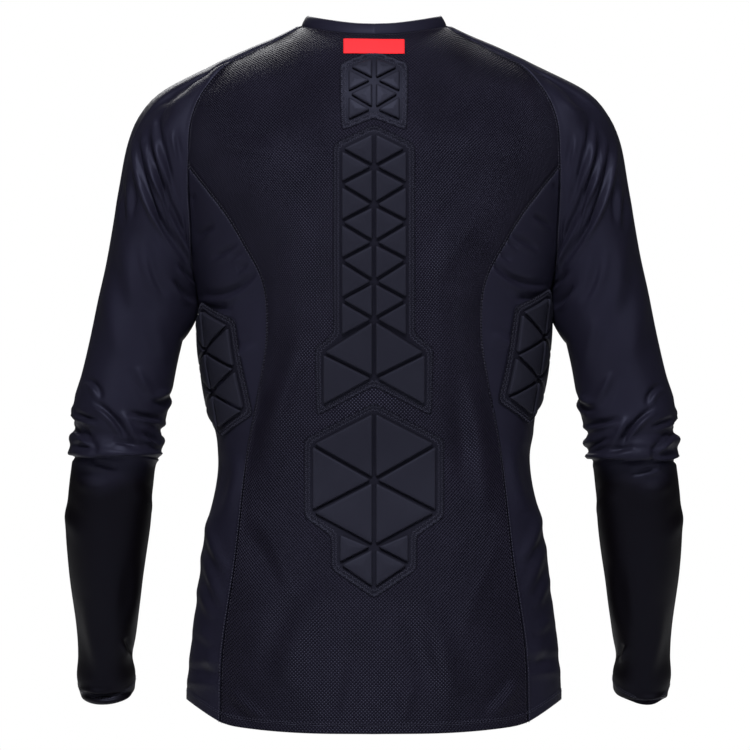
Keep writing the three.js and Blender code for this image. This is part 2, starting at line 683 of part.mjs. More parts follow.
// Pad: backing with raised foam cells, as one closed body. Place puts a flat point at a height over the
// cloth, turnedOver says that flat points turn the other way there, and top is the border's highest level.
function padGeometry(cells, place, lift, { turnedOver, parts = 2, top = Infinity }) {
  const loops = cells.map((cell) => cellLoop(cell, parts));
  const triangles = [];
  const floor = lift + BACKING;
  const strip = (a, b) =>
    a.forEach((p, i) => {
      const j = (i + 1) % a.length;
      triangles.push(p, a[j], b[j], p, b[j], b[i]);
    });
  const fan = (loop, centre, flip) =>
    loop.forEach((p, i) => {
      const q = loop[(i + 1) % loop.length];
      triangles.push(...(flip ? [q, p, centre] : [p, q, centre]));
    });
  loops.forEach((loop, i) => {
    const centre = inCentre(cells[i]);
    const ring = (inset, height) =>
      loop.map((p) => {
        const share = 1 - inset / centre.radius;
        return place(mix(centre.x, p.x, share), mix(centre.z, p.z, share), height);
      });
    const rings = [ring(0, floor), ring(GROOVE, floor), ring(GROOVE + SLOPE, floor + FOAM)];
    strip(rings[0], rings[1]);
    strip(rings[1], rings[2]);
    fan(rings[2], place(centre.x, centre.z, floor + FOAM + CROWN), false);
    fan(ring(0, lift), place(centre.x, centre.z, lift), true);
  });
  const edge = outerLoop(loops);
  const border = borderLoop(edge).map((p) => ({ x: p.x, z: Math.min(p.z, top) }));
  const at = (loop, height) => loop.map((p) => place(p.x, p.z, height));
  strip(at(border, floor), at(edge, floor));
  strip(at(border, lift), at(border, floor));
  strip(at(edge, lift), at(border, lift));
  return soup(turnedOver ? triangles.reverse() : triangles);
}

// Place over the back, at a height out of the cloth
function overBack(x, z, height) {
  const point = onBody(x, z, 1);
  const right = onBody(x + SLIGHT, z, 1).sub(point);
  const up = onBody(x, z + SLIGHT, 1).sub(point);
  return point.addScaledVector(up.cross(right).normalize(), height);
}

// Place over the side of the torso: round is the distance towards the back from the middle of the pad
function overSide(mirror, drop) {
  return (round, z, height) => {
    const level = z - drop;
    const target = round + SIDE_PAD.about;
    let angle = Math.PI / 2;
    let travelled = 0;
    const turn = (Math.sign(target) * Math.PI) / TURNS;
    while (travelled < Math.abs(target)) {
      const stride = onSection(angle, level).distanceTo(onSection(angle - turn, level));
      const part = Math.min((Math.abs(target) - travelled) / stride, 1);
      travelled += stride;
      angle -= turn * part;
    }
    const point = onSection(angle, level);
    const back = onSection(angle - SLIGHT_TURN, level).sub(point);
    const up = onSection(angle, level + SLIGHT).sub(point);
    point.addScaledVector(back.cross(up).normalize(), height);
    return vec(mirror * point.x, point.y, point.z);
  };
}

// Plain label under the neckband
function labelGeometry() {
  const rows = steps(LABEL_ROWS).map((t) => mix(LABEL.bottom, LABEL.top, t));
  const grid = (height) =>
    rows.map((z) => steps(LABEL.steps).map((t) => overBack(mix(LABEL.half, -LABEL.half, t), z, height)));
  const top = grid(LABEL_LIFT + LABEL_THICK);
  const under = grid(LABEL_LIFT);
  const triangles = [];
  const quad = (a, b, c, d) => triangles.push(a, b, c, a, c, d);
  for (let r = 0; r < LABEL_ROWS; r++)
    for (let c = 0; c < LABEL.steps; c++) {
      quad(top[r][c], top[r][c + 1], top[r + 1][c + 1], top[r + 1][c]);
      quad(under[r][c], under[r + 1][c], under[r + 1][c + 1], under[r][c + 1]);
    }
  for (let c = 0; c < LABEL.steps; c++) {
    quad(under[0][c], under[0][c + 1], top[0][c + 1], top[0][c]);
    quad(top.at(-1)[c], top.at(-1)[c + 1], under.at(-1)[c + 1], under.at(-1)[c]);
  }
  for (let r = 0; r < LABEL_ROWS; r++) {
    const last = LABEL.steps;
    quad(under[r][0], top[r][0], top[r + 1][0], under[r + 1][0]);
    quad(top[r][last], under[r][last], under[r + 1][last], top[r + 1][last]);
  }
  return soup(triangles);
}

const mirrored = (grid) => grid.map((row) => row.map((p) => vec(-p.x, p.y, p.z)).reverse());
const turned = (grid) => grid.map((row) => [...row].reverse());

function mesh(name, geometry, material) {
  const made = new THREE.Mesh(geometry, material);
  made.name = name;
  return made;
}

const back = turned(bodyPanel(RAGLAN_BACK, NECK_BACK, SIDE_SEAM_BACK, 1));
const front = bodyPanel(RAGLAN_FRONT, NECK_FRONT, SIDE_SEAM_FRONT, -1);
const sideLeft = turned(sidePanel());
const sideRight = mirrored(sideLeft);
const sleeveLeft = turned(sleeveRows());
const sleeveRight = mirrored(sleeveLeft);
const neckband = turned(neckbandRows());
const normalAt = shareNormals([back, front, sideLeft, sideRight, sleeveLeft, sleeveRight]);
const bandNormalAt = shareNormals([neckband]);

const hemOpen = { gaps: [false, true, true, true] };
const cuffOpen = { looped: true, gaps: [true, false, false, false] };
const spine = (cells, lift, options) =>
  padGeometry([...cells(1), ...cells(-1)], overBack, lift, { turnedOver: true, ...options });
const upperCells = (side) => stripCells(UPPER_PAD.middle, UPPER_PAD.side, side);
const sidePad = (mirror, drop) =>
  padGeometry([...sidePadCells(1), ...sidePadCells(-1)], overSide(mirror, drop), SIDE_PAD_LIFT, {
    turnedOver: mirror < 0,
  });

const shirt = new THREE.Group();
shirt.add(
  mesh("back_panel", wallGeometry(back, normalAt, hemOpen), meshMaterial()),
  mesh("front_panel", wallGeometry(front, normalAt, hemOpen), stretchMaterial()),
  mesh("side_panel_left", wallGeometry(sideLeft, normalAt, hemOpen), stretchMaterial()),
  mesh("side_panel_right", wallGeometry(sideRight, normalAt, hemOpen), stretchMaterial()),
  mesh("sleeve_left", wallGeometry(sleeveLeft, normalAt, cuffOpen), stretchMaterial()),
  mesh("sleeve_right", wallGeometry(sleeveRight, normalAt, cuffOpen), stretchMaterial()),
  mesh("neckband", wallGeometry(neckband, bandNormalAt, { looped: true, gaps: [] }), stretchMaterial()),
  mesh("neck_label", labelGeometry(), labelMaterial()),
  mesh("spine_pad_upper", spine(upperCells, PAD_LIFT, { top: LABEL.bottom - 1 }), padMaterial()),
  mesh("spine_pad_middle", spine(middlePadCells, PAD_LIFT), padMaterial()),
  mesh("spine_pad_lower", spine(lowerPadCells, LOWER_PAD_LIFT, { parts: 3 }), padMaterial()),
  mesh("side_pad_left", sidePad(1, LEFT_PAD_DROP), padMaterial()),
  mesh("side_pad_right", sidePad(-1, 0), padMaterial()),
);

export default shirt;
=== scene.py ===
"""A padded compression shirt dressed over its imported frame: knit panels, foam pads, stitching and label.

Shapes are worked out in millimetres in the frame's own axes and become metres when a mesh is made.
"""
import math

import bpy
import numpy as np
from bpy.props import FloatProperty, IntProperty, PointerProperty
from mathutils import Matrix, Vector
from mathutils.geometry import delaunay_2d_cdt


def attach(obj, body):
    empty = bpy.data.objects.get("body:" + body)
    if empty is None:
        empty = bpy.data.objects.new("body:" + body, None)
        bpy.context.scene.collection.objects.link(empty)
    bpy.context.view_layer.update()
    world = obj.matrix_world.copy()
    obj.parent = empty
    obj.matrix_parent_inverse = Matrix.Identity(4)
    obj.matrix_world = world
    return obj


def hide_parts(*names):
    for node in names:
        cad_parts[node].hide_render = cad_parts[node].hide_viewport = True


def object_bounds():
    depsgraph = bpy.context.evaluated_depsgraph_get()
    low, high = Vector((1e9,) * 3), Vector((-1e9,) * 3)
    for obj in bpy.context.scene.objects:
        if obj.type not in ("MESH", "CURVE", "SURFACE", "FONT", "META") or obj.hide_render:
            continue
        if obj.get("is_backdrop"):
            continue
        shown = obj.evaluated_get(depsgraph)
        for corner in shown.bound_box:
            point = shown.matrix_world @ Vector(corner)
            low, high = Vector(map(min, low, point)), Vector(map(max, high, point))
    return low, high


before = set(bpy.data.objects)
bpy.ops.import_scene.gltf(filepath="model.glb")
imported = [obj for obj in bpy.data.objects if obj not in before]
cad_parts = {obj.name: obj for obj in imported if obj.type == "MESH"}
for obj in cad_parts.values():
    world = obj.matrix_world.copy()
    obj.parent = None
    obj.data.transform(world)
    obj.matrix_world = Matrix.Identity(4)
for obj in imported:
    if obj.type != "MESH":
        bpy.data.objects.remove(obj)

bl_info = {
    "name": "Padded compression shirt",
    "version": (1, 0, 0),
    "blender": (4, 5, 0),
    "location": "3D View > Sidebar > Shirt",
    "description": "Builds the cloth, pads and stitching of a padded compression shirt",
    "category": "Object",
}

CAD_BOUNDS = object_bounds()
MM = 0.001


def table(columns, *rows):
    """Named columns of a short table, as arrays."""
    return dict(zip(columns.split(), np.array(rows, float).T))


# Torso sections: height, half width, depth behind and in front of the middle
TORSO = table(
    "z half back front",
    (-710, 193, 112, 104),
    (-645, 194, 113, 104),
    (-562, 186, 108, 103),
    (-500, 178, 98, 102),
    (-425, 163, 88, 101),
    (-374, 167, 91, 104),
    (-312, 177, 99, 110),
    (-255, 182, 107, 115),
    (-190, 197, 113, 119),
    (-110, 216, 115, 117),
    (60, 222, 112, 106),
)
ROUNDNESS = 2.4  # exponent of the torso's sections
# Ridge of the shoulders: distance from the middle, height, and how far down the back and front round off
RIDGE = table(
    "x z y back_drop front_drop",
    (0, 54, -8, 150, 300),
    (43, 45, -3, 146, 240),
    (75, 35, 4, 140, 160),
    (101, 21, 6, 125, 125),
    (131, 9, 6, 108, 105),
    (150, 2, 5, 98, 95),
    (175, -11, 3, 88, 84),
    (198, -22, 0, 80, 76),
    (222, -34, 0, 74, 70),
)
# Seams in the view from behind, from the neck outwards or from the top down
RAGLAN_BACK = table(
    "x z", (75, 33.5), (101, 19), (130, 4), (151, -6), (169, -24), (182, -44), (190, -70), (192, -112)
)
RAGLAN_FRONT = table(
    "x z", (76, 8), (96, -14), (118, -34), (139, -53), (158, -72), (173, -90), (184, -104), (190, -122)
)
NECK_BACK = table("x z", (0, 25), (24, 26), (52, 29.5), (75, 33.5))
NECK_FRONT = table("x z", (0, -42), (26, -37), (54, -19), (76, 8))
NECK_SIDE = {"front_x": 76, "front_z": 8, "top_x": 75.7, "top_z": 34.4, "back_x": 75, "back_z": 33.5}
UNDERARM_Z = -228
SIDE_SEAM_BACK = table(
    "x z",
    (192, -112),
    (170, -140),
    (154, -161),
    (138, -187),
    (115, -232),
    (111, -286),
    (118, -335),
    (131, -406),
    (144, -520),
    (157, -614),
    (159, -690),
)
SIDE_SEAM_FRONT = table(
    "x z",
    (190, -122),
    (168, -165),
    (150, -215),
    (138, -290),
    (134, -400),
    (146, -520),
    (158, -614),
    (160, -690),
)
# Hem height against the distance from the middle of the back to the side
HEM = table("x z", (0, -699), (75, -698), (135, -693), (159, -687), (195, -664))
# Outer line of the sleeve from the neck to the level of the underarm
SHOULDER_LINE = table(
    "x z",
    (76, 34),
    (101, 21.5),
    (131, 9),
    (175, -11),
    (220, -34),
    (243, -58),
    (256, -87),
    (265, -133),
    (277, -203),
    (287, -250),
)
# Sleeve sections below the underarm: inner and outer end, middle, half depth, how far the back tips down
ARM = table(
    "in_x in_z out_x out_z y deep tip",
    (193, -268, 287, -250, -2, 54, 0),
    (204, -313, 295, -288, 0, 51, 0),
    (210, -345, 304, -326, 2, 49, 0),
    (216, -372, 312, -352, 4, 48, 0),
    (220, -388, 314, -372, 5, 49, 0),
    (218, -400, 312, -386, 5, 47, 0),
    (223, -408, 317, -396, 6, 49, 0),
    (222, -416, 316, -406, 5, 49, 0),
    (227, -422, 314, -415, 1, 44, 0),
    (230, -447, 317, -440, -2, 43, 1),
    (233, -489, 321, -480, -8, 42, 3),
    (241, -543, 318, -532, -20, 38, 6),
    (248, -596, 311, -588, -38, 33, 9),
    (252, -620, 309, -619, -47, 30, 11),
    (249, -638, 310, -642, -53, 30, 13),
    (250, -653, 306, -659, -58, 28, 15),
)
# Creases in the view from behind: start and end, how far the middle bows aside, half width, height
CREASES = "x0 z0 x1 z1 bow wide high"
BACK_CREASES = table(
    CREASES,
    (71, -286, 118, -430, 4, 12, 4.1),
    (46, -540, 96, -650, 6, 14, 3.4),
    (-96, -330, -112, -470, -6, 11, 3.4),
    (-60, -560, -88, -660, 5, 14, 3.4),
    (62, -60, 150, -150, 14, 20, 2.7),
    (-58, -70, -160, -128, -12, 18, 2.5),
    (100, -100, 160, -92, 5, 8, 1.6),
    (-120, -150, -70, -230, 8, 13, 2),
    (128, -470, 84, -560, -8, 10, 2.1),
    (-130, -500, -92, -600, 7, 11, 2),
    (148, -655, 112, -684, 3, 6, 2.1),
    (-150, -640, -118, -682, -4, 7, 2.2),
    (-40, -640, -30, -688, 2, 8, 1.4),
    (20, -620, 34, -690, -3, 9, 1.5),
)
FRONT_CREASES = table(
    CREASES,
    (60, -120, 150, -180, 10, 16, 3.4),
    (-55, -130, -152, -176, -12, 18, 3.1),
    (80, -300, 122, -430, 8, 13, 3.9),
    (-92, -310, -116, -450, -7, 11, 3.5),
    (30, -420, 96, -560, 12, 16, 3.1),
    (-24, -470, -90, -610, -10, 14, 3.4),
    (140, -640, 100, -682, 4, 8, 2.6),
    (-146, -630, -112, -680, -4, 8, 2.6),
    (30, -70, 78, -100, 6, 9, 2.1),
    (-34, -74, -84, -110, -6, 9, 2.1),
)
SIDE_CREASES = table(
    CREASES,
    (185, -141, 196, -161, 3.2, 2.4, -4.1),
    (185, -185, 165, -174, 0, 2.5, -3.8),
    (169, -207, 142, -193, 1, 2.5, -3.8),
    (150, -207, 136, -200, 0, 2.4, -2.9),
    (142, -220, 130, -214, 0, 2.4, -2.6),
    (183, -244, 122, -221, 9.5, 3.6, -5.5),
    (182, -254, 147, -260, 0, 2.8, -4.6),
    (150, -268, 176, -292, 5, 6, 2.6),
    (168, -330, 140, -372, -4, 7, 2.6),
    (120, -300, 152, -316, 4, 5, 2),
    (175, -474, 153, -532, 3.2, 6, 4.0),
    (178, -509, 158, -567, 0.8, 6, 3.2),
    (182, -547, 167, -581, 0, 6, 2.6),
    (183, -591, 167, -607, 0, 6, 1.8),
    (142, -410, 158, -480, -4, 8, 3.2),
    (146, -636, 198, -633, 1, 6, -1.6),
    (150, -650, 199, -646, 1, 6, 1.8),
    (172, -612, 164, -640, 2, 6, 1.4),
)
SLEEVE_CREASES = table(
    CREASES,
    (224, -58, 212, -124, 3.7, 2.8, -4.9),
    (220, -78, 199, -150, 3.0, 2.6, -4.6),
    (238, -74, 190, -184, 7.0, 2.8, -5.8),
    (247, -74, 193, -208, 13, 3, -6.4),
    (220, -152, 185, -211, -4.9, 2.8, -6.4),
    (261, -124, 260, -174, 0, 4, -3.2),
    (252, -124, 252, -167, -2, 3.6, -3.5),
    (206, -75, 199, -108, 0, 2.6, -3.2),
    (196, -158, 184, -242, -2.5, 3, -5.2),
    (201, -214, 184, -239, 0, 2.6, -4.1),
    (207, -228, 191, -253, 0, 2.8, -4.3),
    (232, -190, 214, -248, 5, 5, -3.5),
    (256, -178, 242, -262, 6, 9, 2.6),
    (274, -220, 262, -310, 6, 10, 2.3),
    (230, -262, 212, -312, 4, 7, 2.3),
    (150, 0, 172, -30, 3, 6, 2),
    (196, -34, 226, -54, -4, 5, 2.3),
    (301, -332, 283, -354, -5, 2.8, -4.3),
    (292, -355, 257, -390, -3.5, 2.8, -6.4),
    (312, -366, 287, -375, 1.4, 2.5, -4.9),
    (312, -380, 286, -406, 1.0, 2.5, -4.9),
    (306, -379, 287, -402, 0, 2.4, -3.8),
    (314, -401, 285, -407, -1, 2.5, -5.5),
    (262, -366, 242, -402, 1.2, 4.2, 4.6),
    (270, -396, 247, -400, 0, 2.4, -4.1),
    (256, -366, 220, -374, 0.5, 2.6, -5.8),
    (242, -386, 220, -399, 0, 2.5, -5.2),
    (246, -319, 229, -352, 2.2, 3.8, 4.1),
    (232, -351, 211, -343, 2.3, 3.8, 3.8),
    (297, -416, 266, -425, 1, 2.5, -3.8),
    (307, -655, 271, -658, 2, 2.8, 3.5),
    (304, -658, 252, -657, 5.6, 2.5, -4.6),
    (259, -602, 252, -619, 0, 2.5, -3.5),
    (300, -560, 282, -640, 4, 7, 2),
    (244, -520, 254, -590, -3, 7, 2),
)
# The swell under the armpit and the folds that run on round the elbow. Their ends are degrees round the
# sleeve, from its outside over its back, and heights.
ELBOW_FOLDS = table(
    "a0 z0 a1 z1 bow wide high",
    (180, -214, 180, -292, 0, 18, 10.5),
    (-88, -407, 270, -409, 0, 4.5, 2.4),
    (-88, -413, 270, -415, 0, 2.6, -4.6),
    (-80, -366, 10, -362, -2, 4.5, 3.5),
    (-76, -378, 20, -376, 2, 2.7, -4),
    (-70, -392, 26, -388, -2, 4.5, 3),
    (150, -366, 262, -346, 4, 4.5, 3.2),
    (156, -386, 280, -366, -4, 3.1, -4.2),
    (206, -380, 312, -360, -5, 5, 3.5),
    (168, -400, 290, -386, 4, 4, 3.5),
    (232, -402, 330, -392, 4, 4, -3.5),
    (30, -436, 96, -446, -3, 7, 1.8),
    (110, -448, 180, -470, 4, 8, 1.8),
    (-20, -470, 60, -500, 6, 9, 1.5),
)
SHADED_FOREARM = 266  # length of the smooth, tight part of the sleeve above the cuff, which is painted darker: painted shade
NO_SHADED_PART = -1.0  # the other pieces have no painted shade: it would end far below their hems, in metres
ARM_RADIUS = 47.0  # turns an angle round the sleeve into a distance for the elbow's folds
TROUGH = 0.65  # depth of the trough beside a crease, against the crease's height
SWAY = 0.7  # height of the cloth's broad unevenness
CREASE_STEPS = 12  # straight stretches that a bowed crease is made of
CREASE_REACH = 3.2  # a crease is worked out this many half widths from its line
CREASE_TAPER = 0.8  # how blunt a crease's ends are
TROUGH_ASIDE = 1.6  # half widths from a crease's crest to its trough
# Grids of the cloth: steps for a detail of 1 along each kind of edge, and lengths that set the rows
RAGLAN_STEPS = 7
NECK_STEPS = 3
UNDERARM_STEPS = 8
SIDE_STEPS = 12
UPPER_SLEEVE_STEPS = 13
ROW_PITCH = 14.0  # distance between rows
PANEL_LENGTH = 720
SIDE_LENGTH = 580
CROWDING = 0.09  # how much nearer a side panel's columns are beside its seams
PANEL_HOLD = (6, 1.6)  # how near the neck a panel's columns and rows start to follow its edge
FRONT_COARSER = 2  # the plain front has this much less detail
FRONT_LEAST = 2
STITCH_DETAIL = 4  # detail of the grids that the stitches are set on
# Form between the measured lines
SIDE_HEM_Z = -680.0  # the side's hem is measured out on the section here
ARMPIT_CURVE = 0.75  # how square the underarm's curve is
ARMPIT_GAP = 0.6  # sleeve to side panel, where they fold onto each other under the arm
LEAVE_OUT = (0.45, 1)  # how far out, and down, the sleeve leaves the underarm and the shoulder
LEAVE_DOWN = (-0.9, -0.35)
LEAD_ROW = 0.35  # the sleeve's direction at its first section is taken this far on
SHOULDER_HOLD = 1.6  # how narrow the strip is that keeps to the shoulder's line
SHOULDER_STEPS = 600
ARM_STEPS = 60  # steps between two sections when the sleeve's length is measured
# Stage, in metres
FLOOR_HALF = 3
FLOOR_COLOR = (0.85, 0.85, 0.86, 1)
LIT_PLACE = Vector((0, 0, -0.35))  # what the lights point at
PHOTO_MIDDLE_X = -0.001
SENSOR = 36  # millimetres, as camera makers give it
SIGHT = 300  # how far the camera sees
# Rows of stitches: distance in from the cloth's edge or out from the foam, and the thread's height
JOIN_OFFSET = 0.2
SEAM_OFFSET = 1.9
SEAM_LIFT = 0.15
HEM_OFFSETS = (8.4, 10.6)
HEM_LIFT = 0.1
PAD_STITCH_ROWS = (1.9, 5.3)
STITCH_UNEVEN = 0.09  # how far a stitch turns out of its row's direction, as an angle
# Sewing and unevenness of the cloth
SEAM_RISE = 0.45
SEAM_HALF = 3.2  # half width of a flat seam
SEAM_EDGE = 2.0  # width over which it falls to the cloth
SEAM_GROOVE = 0.6  # the two cloths dip where they meet
GROOVE_HALF = 1.3
SEAM_GAP = 0.1
SEAM_FADE = 6  # creases die out over this distance from a seam
PUCKER = 0.22
PUCKER_REACH = 9
PUCKER_FINE = 1.25  # the puckers' three waves along the seam, each 2 pi times this long
PUCKER_DRIFT = 9.7
PUCKER_SWELL = 17.3
PUCKER_UNEVEN = 2.1
HEM_TURN = 11  # height of the turned hem
HEM_RISE = 0.55  # a turned hem is this much thicker
HEM_EDGE = 1.0
HEM_DENT = 0.35  # its stitches pull a dent along its edge
HEM_DENT_HALF = 0.9
HEM_ROWS = 8  # rows of the grid in the hem, which reach a little past its edge
HEM_MARGIN = 1.3
SWAY_SHIFT = 40  # moves the unevenness from one panel to the next
SLEEVE_SWAY_SHIFT = 90
PAD_SWAY_SHIFT = 200
SLIGHT_SWAY = 0.8  # the unevenness of the sleeves and the side pads, against the panels'
RIGHT_SIDE_MOVE = 11  # creases of the right side lie higher behind, and lower before, than the left side's
FRONT_SIDE_MOVE = 43  # those before the side lie this much lower than those behind it
SIDE_BLEND = 60  # depth over which the ones give way to the others
RIGHT_ARM_MOVE = 6  # creases of the right sleeve lie lower behind, and higher before, than the left one's
FRONT_ARM_MOVE = 26  # those before the arm lie this much higher than those behind it
ARM_BLEND = 2.5  # how sharply the ones give way to the others
BACK_SEED = 0  # each piece's puckers lie elsewhere
FRONT_SEED = 3
SLEEVE_SEED = 4
SIDE_SEEDS = {1: 5, -1: 7}
KNIT_STRETCH = 0.12  # worn knit over its flat cut
WIDE_ROWS = 80  # a cut is as wide as the row that is wider than this many in a hundred
BAND_LEAN = 0.55  # how far the band leans in for each unit of height
BAND_INSET = 0.35  # the band stands inside the neckline
# Section of the folded neckband: height above the neckline and distance out of its face
BAND_SECTION = table(
    "high out",
    (-2.6, -2.0),
    (0.2, -0.1),
    (1.6, 0.5),
    (4.2, 0.75),
    (8.5, 0.7),
    (10.6, 0.3),
    (11.6, -0.5),
    (11.5, -1.4),
    (10.4, -2.0),
    (7, -2.1),
    (2.5, -2.1),
    (-0.2, -2.6),
    (-2.8, -3.2),
)
BAND_FACE_ROW = 3  # the row of its section whose length is the band's
BAND_EVEN = 6  # rounds that even out the band's directions
# Label: its place on the back, its thickness and its height over the cloth
LABEL = {"half": 31.5, "top": 19.4, "bottom": 4.2, "thick": 0.6, "lift": 0.95}
LABEL_STEPS = (42, 12)  # across and up
LABEL_CROWN = 0.25  # the label's middle stands over its stitched edge
LABEL_EDGE = 1.2  # width over which it rises
# Spine pads by the heights of their nodes: middle column, and side column with its distance out
UPPER_PAD = {"middle": (0, -25, -55), "side": ((28, -11), (28, -38.5), (28, -67))}
MIDDLE_PAD = {
    "middle": (-77, -113, -152, -191, -231, -270, -331),
    "side": ((35, -94), (35, -131), (35, -170), (35, -209), (35, -250), (54, -304), (54, -361)),
    "narrow": (5, 35, -289),
}
LOWER_PAD = {
    "middle": (-365, -437, -506, -550),
    "side": ((65, -399), (65, -471), (37, -525)),
    "narrow": (2, 37, -490.6),
}
# Side pads: distance round from the middle of the pad towards the back, and height
SIDE_PAD = {"middle": (-245, -289, -332, -371), "side": ((42, -262), (42, -307), (42, -351))}
SIDE_PAD_ABOUT = 37  # distance of the pad's middle behind the middle of the shirt's side
LEFT_PAD_DROP = 14
BORDER = 7.5  # stitched backing outside the foam
BACKING = 0.8
# Side of a foam block: distance in from its cell's edge and height over the backing
FOAM_SECTION = table(
    "inset high",
    (1.75, -0.5),
    (1.8, 1.2),
    (1.9, 2.6),
    (2.2, 3.4),
    (2.8, 3.85),
    (3.8, 4.05),
    (6.0, 4.1),
)
FOAM_CROWN = 0.3
TOP_SHARES = (0.7, 0.4)  # rings of the top, against its edge
CORNER = 1.6  # rounding of a foam block's corners, growing towards its top
CORNER_GROWTH = 0.5
CORNER_LIMIT = 0.3  # a rounding takes no more of a side than this
CORNER_SHARES = np.linspace(0, 1, 6)  # where a block's ring has its points
EDGE_SHARES = np.linspace(0, 1, 9)[1:-1]
OUTLINE_STEP = 1.2  # distance between an outline's points while it is rounded
OUTLINE_ROUNDS = 10
OUTLINE_PITCH = 2.6  # and when it is done
LEAST_SPREAD = 0.7  # keeps a sharp corner of the outline from running out too far
BACKING_PITCH = 4.0  # distance between points inside the backing
BACKING_CLEAR = 2.2  # they keep this far from its rim
RIM_DROP = -0.7  # the rim's upper edge sinks this much and its lower edge rises a share of it
RIM_SHARE = 0.3
SIDE_SWEEP = (math.pi * 0.62, 0.05)  # angles between which a side pad lies
SWEEP_POINTS = 260
TURN_STEP = 0.01
NEAREST = 1e-5  # points nearer than this count as one
TINY = 1e-12  # stands in for a length of nought
SPINE_PADS = {"spine_pad_upper": UPPER_PAD, "spine_pad_middle": MIDDLE_PAD, "spine_pad_lower": LOWER_PAD}
SIDE_PADS = {"side_pad_left": (1, LEFT_PAD_DROP), "side_pad_right": (-1, 0)}


# Curves and surfaces


def mix(a, b, t):
    return a + (b - a) * t


def smooth(t):
    """Step from 0 to 1 with level ends."""
    t = np.clip(t, 0, 1)
    return t * t * (3 - 2 * t)


def hermite(start, start_slope, end, end_slope, t):
    """Smooth way from one value to another, with a given slope at each end."""
    leaving = start_slope * t * (1 - t) ** 2
    arriving = end_slope * t * t * (1 - t)
    return mix(start, end, t * t * (3 - 2 * t)) + leaving - arriving


def look_up(rows, key, column, at):
    """Values of one column at places in another column, on a smooth curve through the rows."""
    order = np.argsort(rows[key])
    keys, values = rows[key][order], rows[column][order]
    last = len(keys) - 1
    number = np.arange(last + 1)
    low, high = np.maximum(number - 1, 0), np.minimum(number + 1, last)
    slope = (values[high] - values[low]) / (keys[high] - keys[low])
    at = np.clip(np.asarray(at, float), keys[0], keys[-1])
    i = np.clip(np.searchsorted(keys, at, side="right") - 1, 0, last - 1)
    width = keys[i + 1] - keys[i]
    leaving, arriving = slope[i] * width, slope[i + 1] * width
    return hermite(values[i], leaving, values[i + 1], arriving, (at - keys[i]) / width)


def along(rows, share):
    """Points of x and z at shares of the way along a table, by its row number."""
    count = len(rows["x"])
    numbered = {**rows, "i": np.arange(count)}
    at = np.asarray(share) * (count - 1)
    return np.stack([look_up(numbered, "i", "x", at), look_up(numbered, "i", "z", at)], -1)


def depth_at(x, z, side):
    """Depth of the body's surface in the view from behind; side is 1 at the back and -1 at the front."""
    out = np.abs(x)
    share = np.minimum(out / look_up(TORSO, "z", "half", z), 1)
    full = side * look_up(TORSO, "z", "back" if side > 0 else "front", z)
    full = full * (1 - share**ROUNDNESS) ** (1 / ROUNDNESS)
    drop = look_up(RIDGE, "x", "back_drop" if side > 0 else "front_drop", out)
    fall = np.clip((look_up(RIDGE, "x", "z", out) - z) / drop, 0, 1)
    return mix(look_up(RIDGE, "x", "y", out), full, np.sqrt(1 - (1 - fall) ** 2))


def on_body(x, z, side):
    return np.stack(np.broadcast_arrays(x, depth_at(x, z, side), z), -1)


def on_section(angle, z):
    """Point on the torso's section at a height, by its angle from the middle of the back towards +X."""
    s, c = np.sin(angle), np.cos(angle)
    power = 2 / ROUNDNESS
    deep = np.where(c > 0, look_up(TORSO, "z", "back", z), look_up(TORSO, "z", "front", z))
    x = np.sign(s) * look_up(TORSO, "z", "half", z) * np.abs(s) ** power
    return np.stack(np.broadcast_arrays(x, np.sign(c) * deep * np.abs(c) ** power, z), -1)


def section_angle(x, z, side):
    """Angle on the torso's section of a place at a distance out from the middle."""
    share = np.minimum(x / look_up(TORSO, "z", "half", z), 1)
    angle = np.arcsin(share ** (ROUNDNESS / 2))
    return angle if side > 0 else math.pi - angle


def fill_patch(bottom, top, left, right, across, up, hold=(1, 1)):
    """Grid of points between four edges.

    hold is, for each coordinate, how near the top edge the grid starts to follow its shape.
    """
    u, v = across[None, :, None], up[:, None, None]
    span = mix(left[:, None], right[:, None], u)
    low = bottom[None] - mix(bottom[0], bottom[-1], u)
    high = top[None] - mix(top[0], top[-1], u)
    return span + low * (1 - v) + high * v ** np.array(hold)


def hem_steps(rows, length):
    """Shares of the way up a piece, closer together in its turned hem."""
    edge = HEM_TURN * HEM_MARGIN / length
    return np.concatenate([np.linspace(0, edge, HEM_ROWS + 1)[:-1], np.linspace(edge, 1, rows)])


def seam_points(seam, t):
    z = mix(look_up(HEM, "x", "z", seam["x"][-1]), seam["z"][0], t)
    return np.stack([look_up(seam, "z", "x", z), z], -1)


def body_panel(raglan, neck, seam, side, detail):
    """Grid of points of the front or back, from the hem up; the front starts at -X, the back at +X."""
    slope = along(raglan, np.linspace(0, 1, RAGLAN_STEPS * detail + 1))
    half = along(neck, np.linspace(0, 1, NECK_STEPS * detail + 1))
    right = np.concatenate([half[:-1], slope])
    top = np.concatenate([right[:0:-1] * [-1, 1], right])
    across = np.linspace(0, 1, len(top))
    up = hem_steps(round(PANEL_LENGTH * detail / ROW_PITCH), PANEL_LENGTH)
    edge = seam_points(seam, up)
    x = mix(-edge[0, 0], edge[0, 0], across)
    bottom = np.stack([x, look_up(HEM, "x", "z", np.abs(x))], -1)
    flat = fill_patch(bottom, top, edge * [-1, 1], edge, across, up, PANEL_HOLD)
    grid = on_body(flat[..., 0], flat[..., 1], side)
    return grid[:, ::-1] if side > 0 else grid


